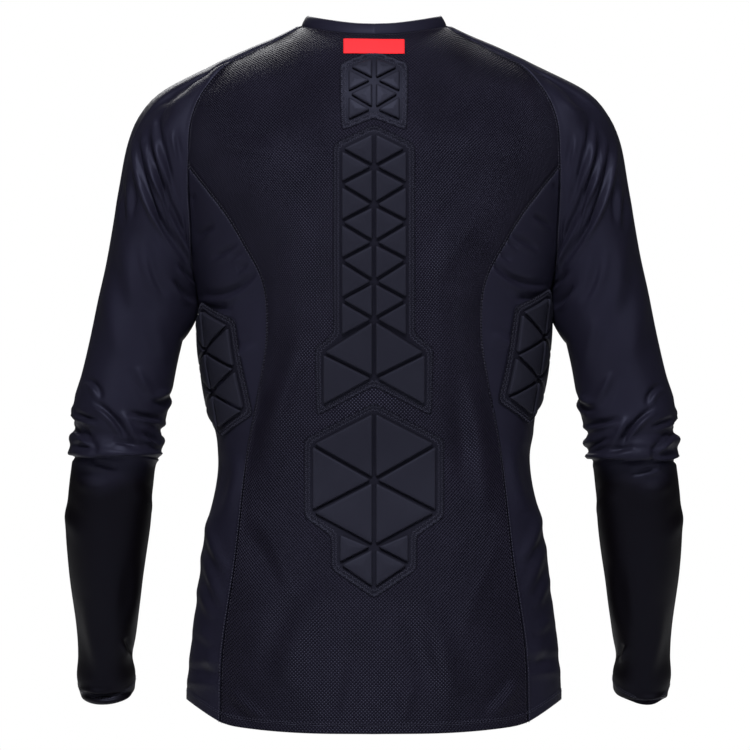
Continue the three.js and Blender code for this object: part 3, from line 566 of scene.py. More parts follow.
def underarm(share):
    """Angle and height along the underarm, from the back raglan's end to the front one's."""
    ends = [(seam["x"][-1], seam["z"][-1]) for seam in (RAGLAN_BACK, RAGLAN_FRONT)]
    (back_x, back_z), (front_x, front_z) = ends
    first, last = section_angle(back_x, back_z, 1), section_angle(front_x, front_z, -1)
    dip = np.sin(math.pi * share) ** ARMPIT_CURVE
    return np.stack([mix(first, last, share), mix(mix(back_z, front_z, share), UNDERARM_Z, dip)], -1)


def side_panel(detail):
    """Side panel of the wearer's left, as a grid of points from its front seam to its back seam."""
    even = np.linspace(0, 1, SIDE_STEPS * detail + 1)
    across = even - CROWDING * np.sin(2 * math.pi * even)
    up = hem_steps(round(SIDE_LENGTH * detail / ROW_PITCH), SIDE_LENGTH)
    edges = []
    for seam, side in ((SIDE_SEAM_BACK, 1), (SIDE_SEAM_FRONT, -1)):
        x, z = seam_points(seam, up).T
        edges.append((np.stack([section_angle(x, z, side), z], -1), on_body(x, z, side)))
    (back, back_line), (front, front_line) = edges
    angle = mix(back[0, 0], front[0, 0], across)
    out = np.abs(on_section(angle, SIDE_HEM_Z)[:, 0])
    bottom = np.stack([angle, look_up(HEM, "x", "z", out)], -1)
    flat = fill_patch(bottom, underarm(across), back, front, across, up)
    grid = on_section(flat[..., 0], flat[..., 1])
    for column, line in ((0, back_line), (-1, front_line)):
        grid[:, column] = line
    return grid[:, ::-1]


def neck_side(count):
    """Edge of the sleeve at the neck, from the front raglan over the shoulder to the back raglan."""
    n = NECK_SIDE
    rise = np.sin(np.linspace(0, math.pi / 2, count))
    front = on_body(mix(n["front_x"], n["top_x"], rise), mix(n["front_z"], n["top_z"], rise), -1)
    # The fall to the back is short and has a third of the points
    fall = np.linspace(0, 1, max(count // 3, 3))
    back = on_body(mix(n["top_x"], n["back_x"], fall), mix(n["top_z"], n["back_z"], fall), 1)
    return front, back[1:]


def armhole(detail):
    """Closed loop where the sleeve meets the torso, from the shoulder's top down the back and up the front.

    Gives the number of its lowest point too.
    """
    share = np.linspace(0, 1, RAGLAN_STEPS * detail + 1)
    front, back = neck_side(NECK_STEPS * detail)
    start = len(front) * 2 // 3
    raglan_back = on_body(*along(RAGLAN_BACK, share).T, 1)
    raglan_front = on_body(*along(RAGLAN_FRONT, share).T, -1)
    angle, z = underarm(np.linspace(0, 1, UNDERARM_STEPS * detail + 1)).T
    under = on_section(angle, z) + [ARMPIT_GAP, 0, 0]
    parts = [front[start:], back[:-1], raglan_back, under[1:-1], raglan_front[::-1], front[1:start]]
    loop = np.concatenate(parts)
    bottom = sum(len(p) for p in parts[:3]) + UNDERARM_STEPS * detail // 2 - 1
    return loop, bottom


def distances(line):
    """Distance of each point of a line from its start."""
    return np.append(0, np.cumsum(np.linalg.norm(np.diff(line, axis=0), axis=1)))


def loop_turns(loop, bottom):
    """Turn round the sleeve of each point of its armhole: none at the shoulder, a half at the underarm."""
    first, second = distances(loop[: bottom + 1]), distances(np.concatenate([loop[bottom:], loop[:1]]))
    return math.pi * np.concatenate([first[:-1] / first[-1], 1 + second[:-1] / second[-1]])


def arm_section(at, turns):
    """Points of the sleeve's sections below the underarm, by row number of their table and turn."""
    numbered = {**ARM, "i": np.arange(len(ARM["y"]))}
    get = {column: look_up(numbered, "i", column, at) for column in ARM}
    inner = np.stack([get["in_x"], get["y"], get["in_z"]], -1)
    outer = np.stack([get["out_x"], get["y"], get["out_z"]], -1)
    centre = ((inner + outer) / 2)[..., None, :]
    across = outer[..., None, :] - centre
    behind = np.stack([0 * get["deep"], get["deep"], -get["tip"]], -1)[..., None, :]
    return centre + across * np.cos(turns)[:, None] + behind * np.sin(turns)[:, None]


def unit(v):
    return v / np.maximum(np.linalg.norm(v, axis=-1, keepdims=True), TINY)


def sleeve(detail):
    """Sleeve of the wearer's left: rows from the armhole to the cuff, and the turn of each column."""
    loop, bottom = armhole(detail)
    turns = loop_turns(loop, bottom)
    first, ahead = arm_section(0.0, turns), arm_section(LEAD_ROW, turns)
    chord = np.linalg.norm(loop - first, axis=1)[:, None]
    lowest = loop[bottom][2]
    high = np.clip((loop[:, 2] - lowest) / (RAGLAN_BACK["z"][-1] - lowest), 0, 1)
    leave = unit(np.stack([mix(*LEAVE_OUT, high), 0 * high, mix(*LEAVE_DOWN, high)], -1)) * chord
    arrive = unit(ahead - first) * chord
    t = np.linspace(0, 1, UPPER_SLEEVE_STEPS * detail + 1)[:, None, None]
    upper = hermite(loop, leave, first, arrive, t)
    line = along(SHOULDER_LINE, np.linspace(0, 1, SHOULDER_STEPS + 1))
    top = upper[:, 0][:, [0, 2]]
    nearest = line[np.argmin(np.linalg.norm(line[None] - top[:, None], axis=2), axis=1)]
    shift = nearest - top
    share = np.maximum(np.cos(turns), 0) ** SHOULDER_HOLD
    for axis, move in ((0, shift[:, 0]), (2, shift[:, 1])):
        upper[1:, :, axis] += move[1:, None] * share
    count = len(ARM["y"]) - 1
    fine = np.linspace(0, count, ARM_STEPS * count + 1)
    centre_line = arm_section(fine, np.array([math.pi / 2]))[:, 0]
    run = distances(centre_line)
    down = 1 - hem_steps(round(run[-1] * detail / ROW_PITCH), run[-1])[::-1]
    at = np.interp(down * run[-1], run, fine)
    rows = np.concatenate([upper, arm_section(at[1:], turns)])
    return rows, turns


def crease_height(rows, x, z):
    """Height out of the cloth of a table of bowed creases, each a ridge with a shallow trough beside it."""
    total = np.zeros(np.shape(x))
    share = np.linspace(0, 1, CREASE_STEPS + 1)
    for x0, z0, x1, z1, bow, wide, high in zip(*rows.values()):
        dx, dz = x1 - x0, z1 - z0
        length = math.hypot(dx, dz)
        arc = 4 * bow * share * (1 - share) / length
        line = np.stack([x0 + share * dx - arc * dz, z0 + share * dz + arc * dx], -1)
        reach = CREASE_REACH * wide
        low, top = line.min(0) - reach, line.max(0) + reach
        near = (x > low[0]) & (x < top[0]) & (z > low[1]) & (z < top[1])
        if not near.any():
            continue
        point = np.stack([x[near], z[near]], -1)[:, None]
        start, run = line[None, :-1], np.diff(line, axis=0)[None]
        t = np.clip(((point - start) * run).sum(-1) / (run**2).sum(-1), 0, 1)
        away = point - start - t[..., None] * run
        gap = np.linalg.norm(away, axis=-1)
        best = np.argmin(gap, axis=1)
        pick = np.arange(len(best))
        cross = run[0, best, 0] * away[pick, best, 1] - run[0, best, 1] * away[pick, best, 0]
        aside = gap[pick, best] * np.sign(cross)
        travel = (best + t[pick, best]) / CREASE_STEPS
        taper = np.sin(math.pi * travel) ** CREASE_TAPER
        ridge = np.exp(-((aside / wide) ** 2))
        trough = TROUGH * np.exp(-(((aside - TROUGH_ASIDE * wide) / wide) ** 2))
        total[near] += high * taper * (ridge - trough)
    return total


def sway(x, z):
    """Broad, soft unevenness of cloth on the wearer: waves of 10 to 35 cm that bend each other."""
    first = np.sin(x / 31 + 1.3 * np.sin(z / 57)) * np.sin(z / 43 + 0.8 * np.sin(x / 39))
    second = np.sin(x / 17 - z / 29 + 0.9 * np.sin(z / 23))
    return SWAY * (0.7 * first + 0.35 * second)


def outward(grid, looped=False):
    """Unit normals of a grid; a looped grid has its last column on its first."""
    if looped:
        ring = grid[:, :-1]
        across = np.roll(ring, -1, 1) - np.roll(ring, 1, 1)
        across = np.concatenate([across, across[:, :1]], 1)
    else:
        across = np.gradient(grid, axis=1)
    return unit(np.cross(across, np.gradient(grid, axis=0)))


def run_along(grid, axis):
    """Distance along the grid's rows or columns from their start."""
    step = np.linalg.norm(np.diff(grid, axis=axis), axis=-1)
    pad = [(0, 0), (0, 0)]
    pad[axis] = (1, 0)
    return np.cumsum(np.pad(step, pad), axis=axis)


def seam_ridge(distance, travel, seed, groove=0.0):
    """Raised, slightly puckered cloth beside a flat seam, dipping where the two cloths meet."""
    raised = SEAM_RISE * (1 - smooth((distance - SEAM_HALF) / SEAM_EDGE))
    flat = raised - groove * (1 - smooth(distance / GROOVE_HALF))
    drift = PUCKER_UNEVEN * np.sin(travel / PUCKER_DRIFT + seed)
    wave = np.sin(travel / PUCKER_FINE + drift) * np.sin(travel / PUCKER_SWELL + seed)
    return flat + PUCKER * wave * np.exp(-((distance / PUCKER_REACH) ** 2))


def hem_rise(distance):
    """The turned hem, and the dent along its edge."""
    fold = HEM_RISE * (1 - smooth((distance - HEM_TURN) / HEM_EDGE))
    return fold - HEM_DENT * np.exp(-(((distance - HEM_TURN) / HEM_DENT_HALF) ** 2))


def pull_in(grid, edges):
    """Grid with the named edges moved in by half of a seam's gap."""
    grid = grid.copy()
    for name in edges:
        lines = grid if name == "top" else grid.transpose(1, 0, 2)
        edge, near = (0, 1) if name == "left" else (-1, -2)
        lines[edge] += unit(lines[near] - lines[edge]) * SEAM_GAP / 2
    return grid


# Meshes


def make_object(name, points, faces, corner_uv):
    """Smooth mesh object in metres from points in millimetres."""
    mesh = bpy.data.meshes.new(name)
    mesh.from_pydata((np.asarray(points) * MM).tolist(), [], faces)
    layer = mesh.uv_layers.new(name="cloth")
    layer.data.foreach_set("uv", (np.asarray(corner_uv) * MM).ravel())
    mesh.shade_smooth()
    mesh.validate()
    made = bpy.data.objects.new(name, mesh)
    bpy.context.scene.collection.objects.link(made)
    return made


def shell(name, grid, uv, thick, looped=False):
    """Closed cloth of two layers from a grid of its outside points.

    A looped grid's last column is its first.
    """
    rows, columns = grid.shape[:2]
    wrap = columns - 1 if looped else columns
    inner = grid - outward(grid, looped) * thick
    points = np.concatenate([grid[:, :wrap].reshape(-1, 3), inner[:, :wrap].reshape(-1, 3)])

    def corners(layer, r, c):
        return np.stack([layer * rows * wrap + r * wrap + c % wrap, r * columns + c], -1)

    def quads(layers, r, c):
        return np.stack([corners(k, i, j) for k, i, j in zip(layers, r, c)], -2).reshape(-1, 4, 2)

    r, c = np.mgrid[0 : rows - 1, 0 : columns - 1]
    face = quads([0] * 4, [r, r, r + 1, r + 1], [c, c + 1, c + 1, c])
    under = quads([1] * 4, [r, r + 1, r + 1, r], [c, c, c + 1, c + 1])
    line, zero = np.arange(columns - 1), np.zeros(columns - 1, int)
    last = zero + rows - 1
    parts = [face, under]
    parts.append(quads([1, 1, 0, 0], [zero] * 4, [line, line + 1, line + 1, line]))
    parts.append(quads([0, 0, 1, 1], [last] * 4, [line, line + 1, line + 1, line]))
    if not looped:
        line, zero = np.arange(rows - 1), np.zeros(rows - 1, int)
        last = zero + columns - 1
        parts.append(quads([1, 0, 0, 1], [line, line, line + 1, line + 1], [zero] * 4))
        parts.append(quads([0, 1, 1, 0], [line, line, line + 1, line + 1], [last] * 4))
    both = np.concatenate(parts)
    return make_object(name, points, both[..., 0].tolist(), uv.reshape(-1, 2)[both[..., 1]])


def finish_piece(made, slot, material, node):
    """Every finished piece rides on the one body, takes its material and hides the frame's part that it
    stands for.
    """
    made.data.materials.append(material)
    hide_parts(node)
    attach(made, "root")


def surface_of(grid):
    """Area of a grid of points."""
    diagonal, other = grid[1:, 1:] - grid[:-1, :-1], grid[1:, :-1] - grid[:-1, 1:]
    return np.linalg.norm(np.cross(diagonal, other), axis=-1).sum() / 2


def declare_cut(made, grid, stretch):
    """The piece's flat cut: its width, longest column and area, before it was stretched."""
    back = 1 / (1 + stretch)
    width = np.percentile(run_along(grid, 1)[:, -1], WIDE_ROWS) * back * MM
    length = run_along(grid, 0)[-1].max() * back * MM
    area = surface_of(grid) * back**2 * MM**2
    print(f"cut {made.name}: {width:.3f} x {length:.3f} m, {area:.4f} m2")


# Cloth


def cloth_relief(grid, creases, seed):
    """Creases, unevenness, flat seams and turned hem of a panel with seams at both sides and its top."""
    left, up = run_along(grid, 1), run_along(grid, 0)
    side = np.minimum(left, left[:, -1:] - left)
    top = up[-1:] - up
    free = smooth(np.minimum(side, top) / SEAM_FADE)
    x, z = grid[..., 0], grid[..., 2]
    beside, above = seam_ridge(side, up, seed, SEAM_GROOVE), seam_ridge(top, left, seed + 1)
    ridge = np.where(side < top, beside, above)
    return free * (creases + sway(x + SWAY_SHIFT * seed, z)) + ridge + hem_rise(up)


def centred_uv(grid):
    """Distances along the cloth from its middle column and bottom row."""
    left = run_along(grid, 1)
    return np.stack([left - left[:, -1:] / 2, run_along(grid, 0)], -1)


def dress(grid, height, looped=False):
    return grid + outward(grid, looped) * height[..., None]


def mirrored(grid):
    return (grid * [-1, 1, 1])[:, ::-1]


def back_grid(detail):
    grid = body_panel(RAGLAN_BACK, NECK_BACK, SIDE_SEAM_BACK, 1, detail)
    creases = crease_height(BACK_CREASES, grid[..., 0], grid[..., 2])
    return dress(grid, cloth_relief(grid, creases, BACK_SEED))


def front_grid(detail):
    grid = body_panel(RAGLAN_FRONT, NECK_FRONT, SIDE_SEAM_FRONT, -1, detail)
    creases = crease_height(FRONT_CREASES, grid[..., 0], grid[..., 2])
    return dress(grid, cloth_relief(grid, creases, FRONT_SEED))


def side_grid(detail, mirror):
    """Side panel of the wearer's left (mirror 1) or right (mirror -1)."""
    grid = side_panel(detail)
    x, y, z = grid[..., 0], grid[..., 1], grid[..., 2]
    move = 0 if mirror > 0 else RIGHT_SIDE_MOVE
    behind = crease_height(SIDE_CREASES, x, z - move)
    before = crease_height(SIDE_CREASES, x, z + FRONT_SIDE_MOVE + move)
    creases = mix(before, behind, smooth(y / SIDE_BLEND + 0.5))
    grid = dress(grid, cloth_relief(grid, creases, SIDE_SEEDS[mirror]))
    return grid if mirror > 0 else mirrored(grid)


def sleeve_grid(detail, mirror):
    """Sleeve of the wearer's left (mirror 1) or right (mirror -1), from its cuff up to the armhole."""
    rows, turns = sleeve(detail)
    grid = np.concatenate([rows, rows[:, :1]], 1)[::-1]
    turns = np.append(turns, 2 * math.pi)
    x, z = grid[..., 0], grid[..., 2]
    move = 0 if mirror > 0 else RIGHT_ARM_MOVE
    behind = crease_height(SLEEVE_CREASES, x, z + move)
    before = crease_height(SLEEVE_CREASES, x, z - FRONT_ARM_MOVE - move)
    facing = np.sin(turns) * ARM_BLEND
    creases = behind * smooth(facing) + before * smooth(-facing)
    elbow = {**ELBOW_FOLDS, **{key: np.radians(ELBOW_FOLDS[key]) * ARM_RADIUS for key in ("a0", "a1")}}
    for lap in (0, 1):
        around = (turns - lap * 2 * math.pi) * ARM_RADIUS + 0 * x
        creases += crease_height(elbow, around, z + move * 0.5)
    down = run_along(grid[::-1], 0)[::-1]
    up = run_along(grid, 0)
    free = smooth(down / SEAM_FADE)
    travel = run_along(grid, 1)
    uneven = SLIGHT_SWAY * sway(x + SLEEVE_SWAY_SHIFT * mirror, z)
    height = free * (creases + uneven) + seam_ridge(down, travel, SLEEVE_SEED) + hem_rise(up)
    grid = dress(grid, height, looped=True)
    return grid if mirror > 0 else mirrored(grid)


def neckline(detail):
    """Closed loop where the neckband stands, from the middle of the back over +X."""
    share = np.linspace(0, 1, 2 * NECK_STEPS * detail + 1)
    back = on_body(*along(NECK_BACK, share).T, 1)
    front = on_body(*along(NECK_FRONT, share).T, -1)
    before, behind = neck_side(NECK_STEPS * detail)
    side = np.concatenate([before[1:], behind[:-1]])
    half = np.concatenate([back, side[::-1], front[::-1]])
    return np.concatenate([half, (half * [-1, 1, 1])[::-1][1:-1]])


def neckband_rings(detail, section):
    """Rings of the band, one for each row of its section."""
    base = neckline(detail)
    centre = base.mean(0)
    away = unit((base - centre) * [1, 1, 0])
    for _ in range(BAND_EVEN):
        away = unit(away + np.roll(away, 1, 0) + np.roll(away, -1, 0))
    high, out = section["high"][:, None, None], section["out"][:, None, None]
    aside = -BAND_LEAN * high - BAND_INSET + out
    return base + away * aside + np.array([0, 0, 1]) * (high + BAND_LEAN * out)


def label_grid():
    """Grid of points of the label, its edges pressed down by their stitches."""
    half, low, high = LABEL["half"], LABEL["bottom"], LABEL["top"]
    columns, rows = LABEL_STEPS
    x, z = np.meshgrid(np.linspace(half, -half, columns + 1), np.linspace(low, high, rows + 1))
    edge = np.minimum(half - np.abs(x), np.minimum(z - low, high - z))
    return over_back(x, z, LABEL["lift"] + LABEL_CROWN * smooth(edge / LABEL_EDGE))


def closed_tube(name, rings):
    """Closed ring-shaped mesh from a stack of closed loops, the last loop joined to the first."""
    rows, columns = rings.shape[:2]
    r, c = np.mgrid[0:rows, 0:columns]
    up, on = (r + 1) % rows, (c + 1) % columns
    corners = [r * columns + c, up * columns + c, up * columns + on, r * columns + on]
    faces = np.stack(corners, -1).reshape(-1, 4)
    length = run_along(rings, 1)
    high = run_along(rings[:, :1], 0)
    uv = np.stack([length, high + 0 * length], -1).reshape(-1, 2)
    return make_object(name, rings.reshape(-1, 3), faces.tolist(), uv[faces])


# Pads


def pad_cells(pad):
    """Three corners of each foam cell, on both sides of the middle."""
    cells = []
    row, narrow_x, narrow_z = pad.get("narrow", (None, 0, 0))
    for mirror in (1, -1):
        middle = [np.array([0, z], float) for z in pad["middle"]]
        side = [np.array([mirror * x, z], float) for x, z in pad["side"]]
        for i, node in enumerate(side):
            if i + 1 < len(middle):
                cells.append([middle[i], node, middle[i + 1]])
            if i + 1 < len(side):
                pair = [node, side[i + 1]]
                if i + 1 == row:
                    wider = abs(pair[1][0]) > abs(pair[0][0])
                    pair[1 if wider else 0] = np.array([mirror * narrow_x, narrow_z])
                cells.append([*pair, middle[i + 1]])
    return cells


def pad_outline(pad, out):
    """Closed outline round the foam, moved out and with rounded corners."""
    half = [np.array([0, pad["middle"][0]], float)] + [np.array(p, float) for p in pad["side"]]
    if "narrow" in pad:
        row, x, z = pad["narrow"]
        half.insert(row + 1, np.array([x, z], float))
    end = np.array([0, pad["middle"][-1]], float)
    corners = np.array(half + [end] + [p * [-1, 1] for p in half[:0:-1]])
    before, after = np.roll(corners, 1, 0), np.roll(corners, -1, 0)
    first, second = unit(corners - before), unit(after - corners)
    turn = np.array([[0, 1], [-1, 0]])
    normal = unit(first @ turn + second @ turn)
    spread = np.maximum((normal * (second @ turn)).sum(-1), LEAST_SPREAD)
    area = (corners[:, 0] * after[:, 1] - after[:, 0] * corners[:, 1]).sum()
    loop = corners + normal * (out * (1 if area < 0 else -1) / spread)[:, None]
    loop = resample(loop, OUTLINE_STEP)
    for _ in range(OUTLINE_ROUNDS):
        loop = (loop + np.roll(loop, 1, 0) + np.roll(loop, -1, 0)) / 3
    return resample(loop, OUTLINE_PITCH)


def resample(loop, spacing):
    """Closed loop with its points at even distances."""
    ring = np.concatenate([loop, loop[:1]])
    run = distances(ring)
    at = np.linspace(0, run[-1], round(run[-1] / spacing) + 1)[:-1]
    return np.stack([np.interp(at, run, ring[:, k]) for k in range(ring.shape[1])], -1)


def rounded_ring(corners, centre, radius, inset, corner):
    """Closed ring inside a triangle at a distance in from its edges, its corners rounded."""
    inner = centre + (np.array(corners) - centre) * (1 - inset / radius)
    before, after = np.roll(inner, 1, 0), np.roll(inner, -1, 0)
    to_before, to_after = np.linalg.norm(before - inner, axis=1), np.linalg.norm(after - inner, axis=1)
    cut = np.minimum(corner, CORNER_LIMIT * np.minimum(to_before, to_after))[:, None]
    starts, ends = inner + unit(before - inner) * cut, inner + unit(after - inner) * cut
    ring = []
    for i in range(3):
        ring += [mix(mix(starts[i], inner[i], t), mix(inner[i], ends[i], t), t) for t in CORNER_SHARES]
        ring += [mix(ends[i], starts[(i + 1) % 3], t) for t in EDGE_SHARES]
    return np.array(ring)


def foam_block(cell):
    """Rings of one foam block, as flat places and heights over the backing, and the place of its crown."""
    a, b, c = cell
    if doubled_area(a, b, c) < 0:
        b, c = c, b
    sides = np.array([np.linalg.norm(b - c), np.linalg.norm(c - a), np.linalg.norm(a - b)])
    centre = (sides[0] * a + sides[1] * b + sides[2] * c) / sides.sum()
    radius = doubled_area(a, b, c) / sides.sum()
    rings, heights = [], list(FOAM_SECTION["high"])
    for inset in FOAM_SECTION["inset"]:
        rings.append(rounded_ring((a, b, c), centre, radius, inset, CORNER + inset * CORNER_GROWTH))
    top, edge = heights[-1], rings[-1]
    for share in TOP_SHARES:
        rings.append(centre + (edge - centre) * share)
        heights.append(top + FOAM_CROWN * (1 - share**2))
    return rings, heights, centre, top + FOAM_CROWN


def backing_sheet(pad, lift):
    """Both layers of a pad's backing: flat points, heights over the cloth and faces."""
    rim = pad_outline(pad, BORDER)
    inside = pad_outline(pad, BORDER - BACKING_CLEAR)
    low, high = rim.min(0), rim.max(0)
    x, z = np.meshgrid(np.arange(low[0], high[0], BACKING_PITCH), np.arange(low[1], high[1], BACKING_PITCH))
    x = x + BACKING_PITCH / 2 * (np.arange(len(x)) % 2)[:, None]
    spots = [p for p in np.stack([x.ravel(), z.ravel()], -1) if in_loop(p, inside)]
    given = [Vector(p) for p in [*rim, *spots]]
    flat, _, triangles, *_ = delaunay_2d_cdt(given, [], [list(range(len(rim)))], 1, NEAREST)
    flat = np.array([tuple(p) for p in flat])
    total = len(flat)
    top = [t if doubled_area(*flat[list(t[:3])]) > 0 else t[::-1] for t in triangles]
    loop = border_of(top)
    drop = np.zeros(total)
    drop[loop] = RIM_DROP
    height = np.concatenate([lift + BACKING + drop, lift - drop * RIM_SHARE])
    under = [tuple(i + total for i in t[::-1]) for t in top]
    band = [(a, a + total, b + total, b) for a, b in zip(loop, loop[1:] + loop[:1])]
    return np.concatenate([flat, flat]), height, top + under + band


def block_sheet(cell, lift):
    """One foam block on the backing: flat points, heights over the cloth and faces."""
    rings, heights, centre, crown = foam_block(cell)
    n = len(rings[0])
    last = (len(rings) - 1) * n
    flat = np.concatenate(rings + [centre[None]])
    height = np.append(np.repeat(heights, n), crown) + lift + BACKING
    around = [(i, (i + 1) % n) for i in range(n)]
    faces = [(k + i, k + j, k + n + j, k + n + i) for k in range(0, last, n) for i, j in around]
    faces += [(last + i, last + j, last + n) for i, j in around]
    faces.append(tuple(range(n))[::-1])
    return flat, height, faces


def pad_mesh(name, pad, place, lift, inward):
    """Backing sheet with raised foam blocks; place puts flat points at heights over the cloth.

    The first coordinate of its UV tells foam from backing. inward turns the faces, where place mirrors.
    """
    points, faces, foam = [], [], []
    start = 0
    sheets = [backing_sheet(pad, lift)] + [block_sheet(cell, lift) for cell in pad_cells(pad)]
    for number, (flat, height, polygons) in enumerate(sheets):
        foam.extend([min(number, 1)] * sum(len(p) for p in polygons))
        points.append(place(flat[:, 0], flat[:, 1], height))
        faces.extend([tuple(start + i for i in (p[::-1] if inward else p)) for p in polygons])
        start += len(flat)
    share = np.array(foam) / MM
    return make_object(name, np.concatenate(points), faces, np.stack([share, 0 * share], -1))


def in_loop(p, loop):
    """Whether a flat point is inside a closed loop."""
    after = np.roll(loop, -1, 0)
    crosses = (loop[:, 1] > p[1]) != (after[:, 1] > p[1])
    rise = np.where(crosses, after[:, 1] - loop[:, 1], 1)
    at = loop[:, 0] + (p[1] - loop[:, 1]) * (after[:, 0] - loop[:, 0]) / rise
    return np.count_nonzero(crosses & (p[0] < at)) % 2 == 1


def doubled_area(a, b, c):
    """Twice a flat triangle's area, above nought where its corners turn left."""
    return (b - a)[0] * (c - a)[1] - (b - a)[1] * (c - a)[0]


def border_of(triangles):
    """The outside edges of a set of triangles as one loop of point numbers, turning as the triangles do."""
    edges = {(t[i], t[(i + 1) % len(t)]) for t in triangles for i in range(len(t))}
    following = {a: b for a, b in edges if (b, a) not in edges}
    loop = [next(iter(sorted(following)))]
    while following[loop[-1]] != loop[0]:
        loop.append(following[loop[-1]])
    return loop


def over_back(x, z, height):
    """Places in the view from behind, at heights over the creased cloth of the back."""
    point = on_body(x, z, 1)
    right, up = on_body(x + 1.0, z, 1) - point, on_body(x, z + 1.0, 1) - point
    lift = height + crease_height(BACK_CREASES, x, z) + sway(x, z)
    return point + unit(np.cross(up, right)) * lift[..., None]


def over_side(mirror, drop):
    """Gives a function that places points over the side of the torso.

    It takes the distance round towards the back from the pad's middle, the height, and how far out.
    """

    def place(x, z, height):
        level, target = z - drop, x + SIDE_PAD_ABOUT
        angles = np.linspace(*SIDE_SWEEP, SWEEP_POINTS)
        line = on_section(angles[None], level[:, None])
        run = run_along(line, 1)
        middle = [np.interp(-math.pi / 2, -angles, row) for row in run]
        angle = np.array([np.interp(t + s, row, angles) for t, s, row in zip(target, middle, run)])
        point = on_section(angle, level)
        back, up = on_section(angle - TURN_STEP, level) - point, on_section(angle, level + 1.0) - point
        lift = height + SLIGHT_SWAY * sway(x + PAD_SWAY_SHIFT * mirror, z)
        return (point + unit(np.cross(back, up)) * lift[..., None]) * [mirror, 1, 1]

    return place


# Stitching


def paths_object(name, paths):
    """Mesh of edges along the paths; each point keeps the direction out of the cloth."""
    points, outs, edges = [], [], []
    for line, out, closed in paths:
        start, count = len(points), len(line)
        points.extend(line * MM)
        outs.extend(out)
        edges.extend((start + i, start + i + 1) for i in range(count - 1))
        if closed:
            edges.append((start + count - 1, start))
    mesh = bpy.data.meshes.new(name)
    mesh.from_pydata([tuple(p) for p in points], edges, [])
    mesh.attributes.new("out", "FLOAT_VECTOR", "POINT").data.foreach_set("vector", np.array(outs).ravel())
    made = bpy.data.objects.new(name, mesh)
    bpy.context.scene.collection.objects.link(made)
    return made


def add_node(nodes, kind, **settings):
    made = nodes.new(kind)
    for key, value in settings.items():
        setattr(made, key, value)
    return made


def stitch_group():
    """Geometry Nodes: a thread's stitches set along edges, turned with them and flat on the cloth."""
    group = bpy.data.node_groups.new("stitches_along_edges", "GeometryNodeTree")
    face = group.interface
    face.new_socket("Geometry", in_out="INPUT", socket_type="NodeSocketGeometry")
    for name in ("Spacing", "Length", "Thickness", "Lean"):
        face.new_socket(name, in_out="INPUT", socket_type="NodeSocketFloat")
    face.new_socket("Seed", in_out="INPUT", socket_type="NodeSocketInt")
    face.new_socket("Thread", in_out="INPUT", socket_type="NodeSocketMaterial")
    face.new_socket("Geometry", in_out="OUTPUT", socket_type="NodeSocketGeometry")
    nodes, link = group.nodes, group.links.new

    def node(kind, **settings):
        return add_node(nodes, kind, **settings)

    given, result = node("NodeGroupInput"), node("NodeGroupOutput")
    curve, even = node("GeometryNodeMeshToCurve"), node("GeometryNodeResampleCurve", mode="LENGTH")
    link(given.outputs["Geometry"], curve.inputs[0])
    link(curve.outputs[0], even.inputs["Curve"])
    link(given.outputs["Spacing"], even.inputs["Length"])
    along_path = node("GeometryNodeInputTangent")
    out = node("GeometryNodeInputNamedAttribute", data_type="FLOAT_VECTOR")
    out.inputs["Name"].default_value = "out"
    lengthwise = node("FunctionNodeAlignRotationToVector", axis="X")
    link(along_path.outputs[0], lengthwise.inputs["Vector"])
    flat = node("FunctionNodeAlignRotationToVector", axis="Z", pivot_axis="X")
    link(lengthwise.outputs[0], flat.inputs["Rotation"])
    link(out.outputs["Attribute"], flat.inputs["Vector"])
    number = node("GeometryNodeInputIndex")
    parity = node("ShaderNodeMath", operation="MODULO")
    link(number.outputs[0], parity.inputs[0])
    parity.inputs[1].default_value = 2
    sign = node("ShaderNodeMath", operation="MULTIPLY_ADD")
    link(parity.outputs[0], sign.inputs[0])
    for socket, value in zip(sign.inputs[1:], (2, -1)):
        socket.default_value = value
    swing = node("ShaderNodeMath", operation="MULTIPLY")
    link(sign.outputs[0], swing.inputs[0])
    link(given.outputs["Lean"], swing.inputs[1])
    uneven = node("FunctionNodeRandomValue", data_type="FLOAT")
    low, high = [s for s in uneven.inputs if s.enabled and s.name in ("Min", "Max")]
    low.default_value, high.default_value = -STITCH_UNEVEN, STITCH_UNEVEN
    link(given.outputs["Seed"], uneven.inputs["Seed"])
    turn = node("ShaderNodeMath", operation="ADD")
    link(swing.outputs[0], turn.inputs[0])
    link([s for s in uneven.outputs if s.enabled][0], turn.inputs[1])
    angle = node("ShaderNodeCombineXYZ")
    link(turn.outputs[0], angle.inputs["Z"])
    euler = node("FunctionNodeEulerToRotation")
    link(angle.outputs[0], euler.inputs[0])
    leaning = node("FunctionNodeRotateRotation", rotation_space="LOCAL")
    link(flat.outputs[0], leaning.inputs["Rotation"])
    link(euler.outputs[0], leaning.inputs["Rotate By"])
    ball = node("GeometryNodeMeshUVSphere")
    for key, value in (("Segments", 5), ("Rings", 3), ("Radius", 0.5)):
        ball.inputs[key].default_value = value
    size = node("ShaderNodeCombineXYZ")
    link(given.outputs["Length"], size.inputs["X"])
    link(given.outputs["Thickness"], size.inputs["Y"])
    link(given.outputs["Thickness"], size.inputs["Z"])
    stitch = node("GeometryNodeTransform")
    link(ball.outputs["Mesh"], stitch.inputs["Geometry"])
    link(size.outputs[0], stitch.inputs["Scale"])
    place = node("GeometryNodeInstanceOnPoints")
    link(even.outputs[0], place.inputs["Points"])
    link(stitch.outputs[0], place.inputs["Instance"])
    link(leaning.outputs[0], place.inputs["Rotation"])
    real, coloured = node("GeometryNodeRealizeInstances"), node("GeometryNodeSetMaterial")
    link(place.outputs[0], real.inputs[0])
    link(real.outputs[0], coloured.inputs["Geometry"])
    link(given.outputs["Thread"], coloured.inputs["Material"])
    link(coloured.outputs[0], result.inputs[0])
    return group


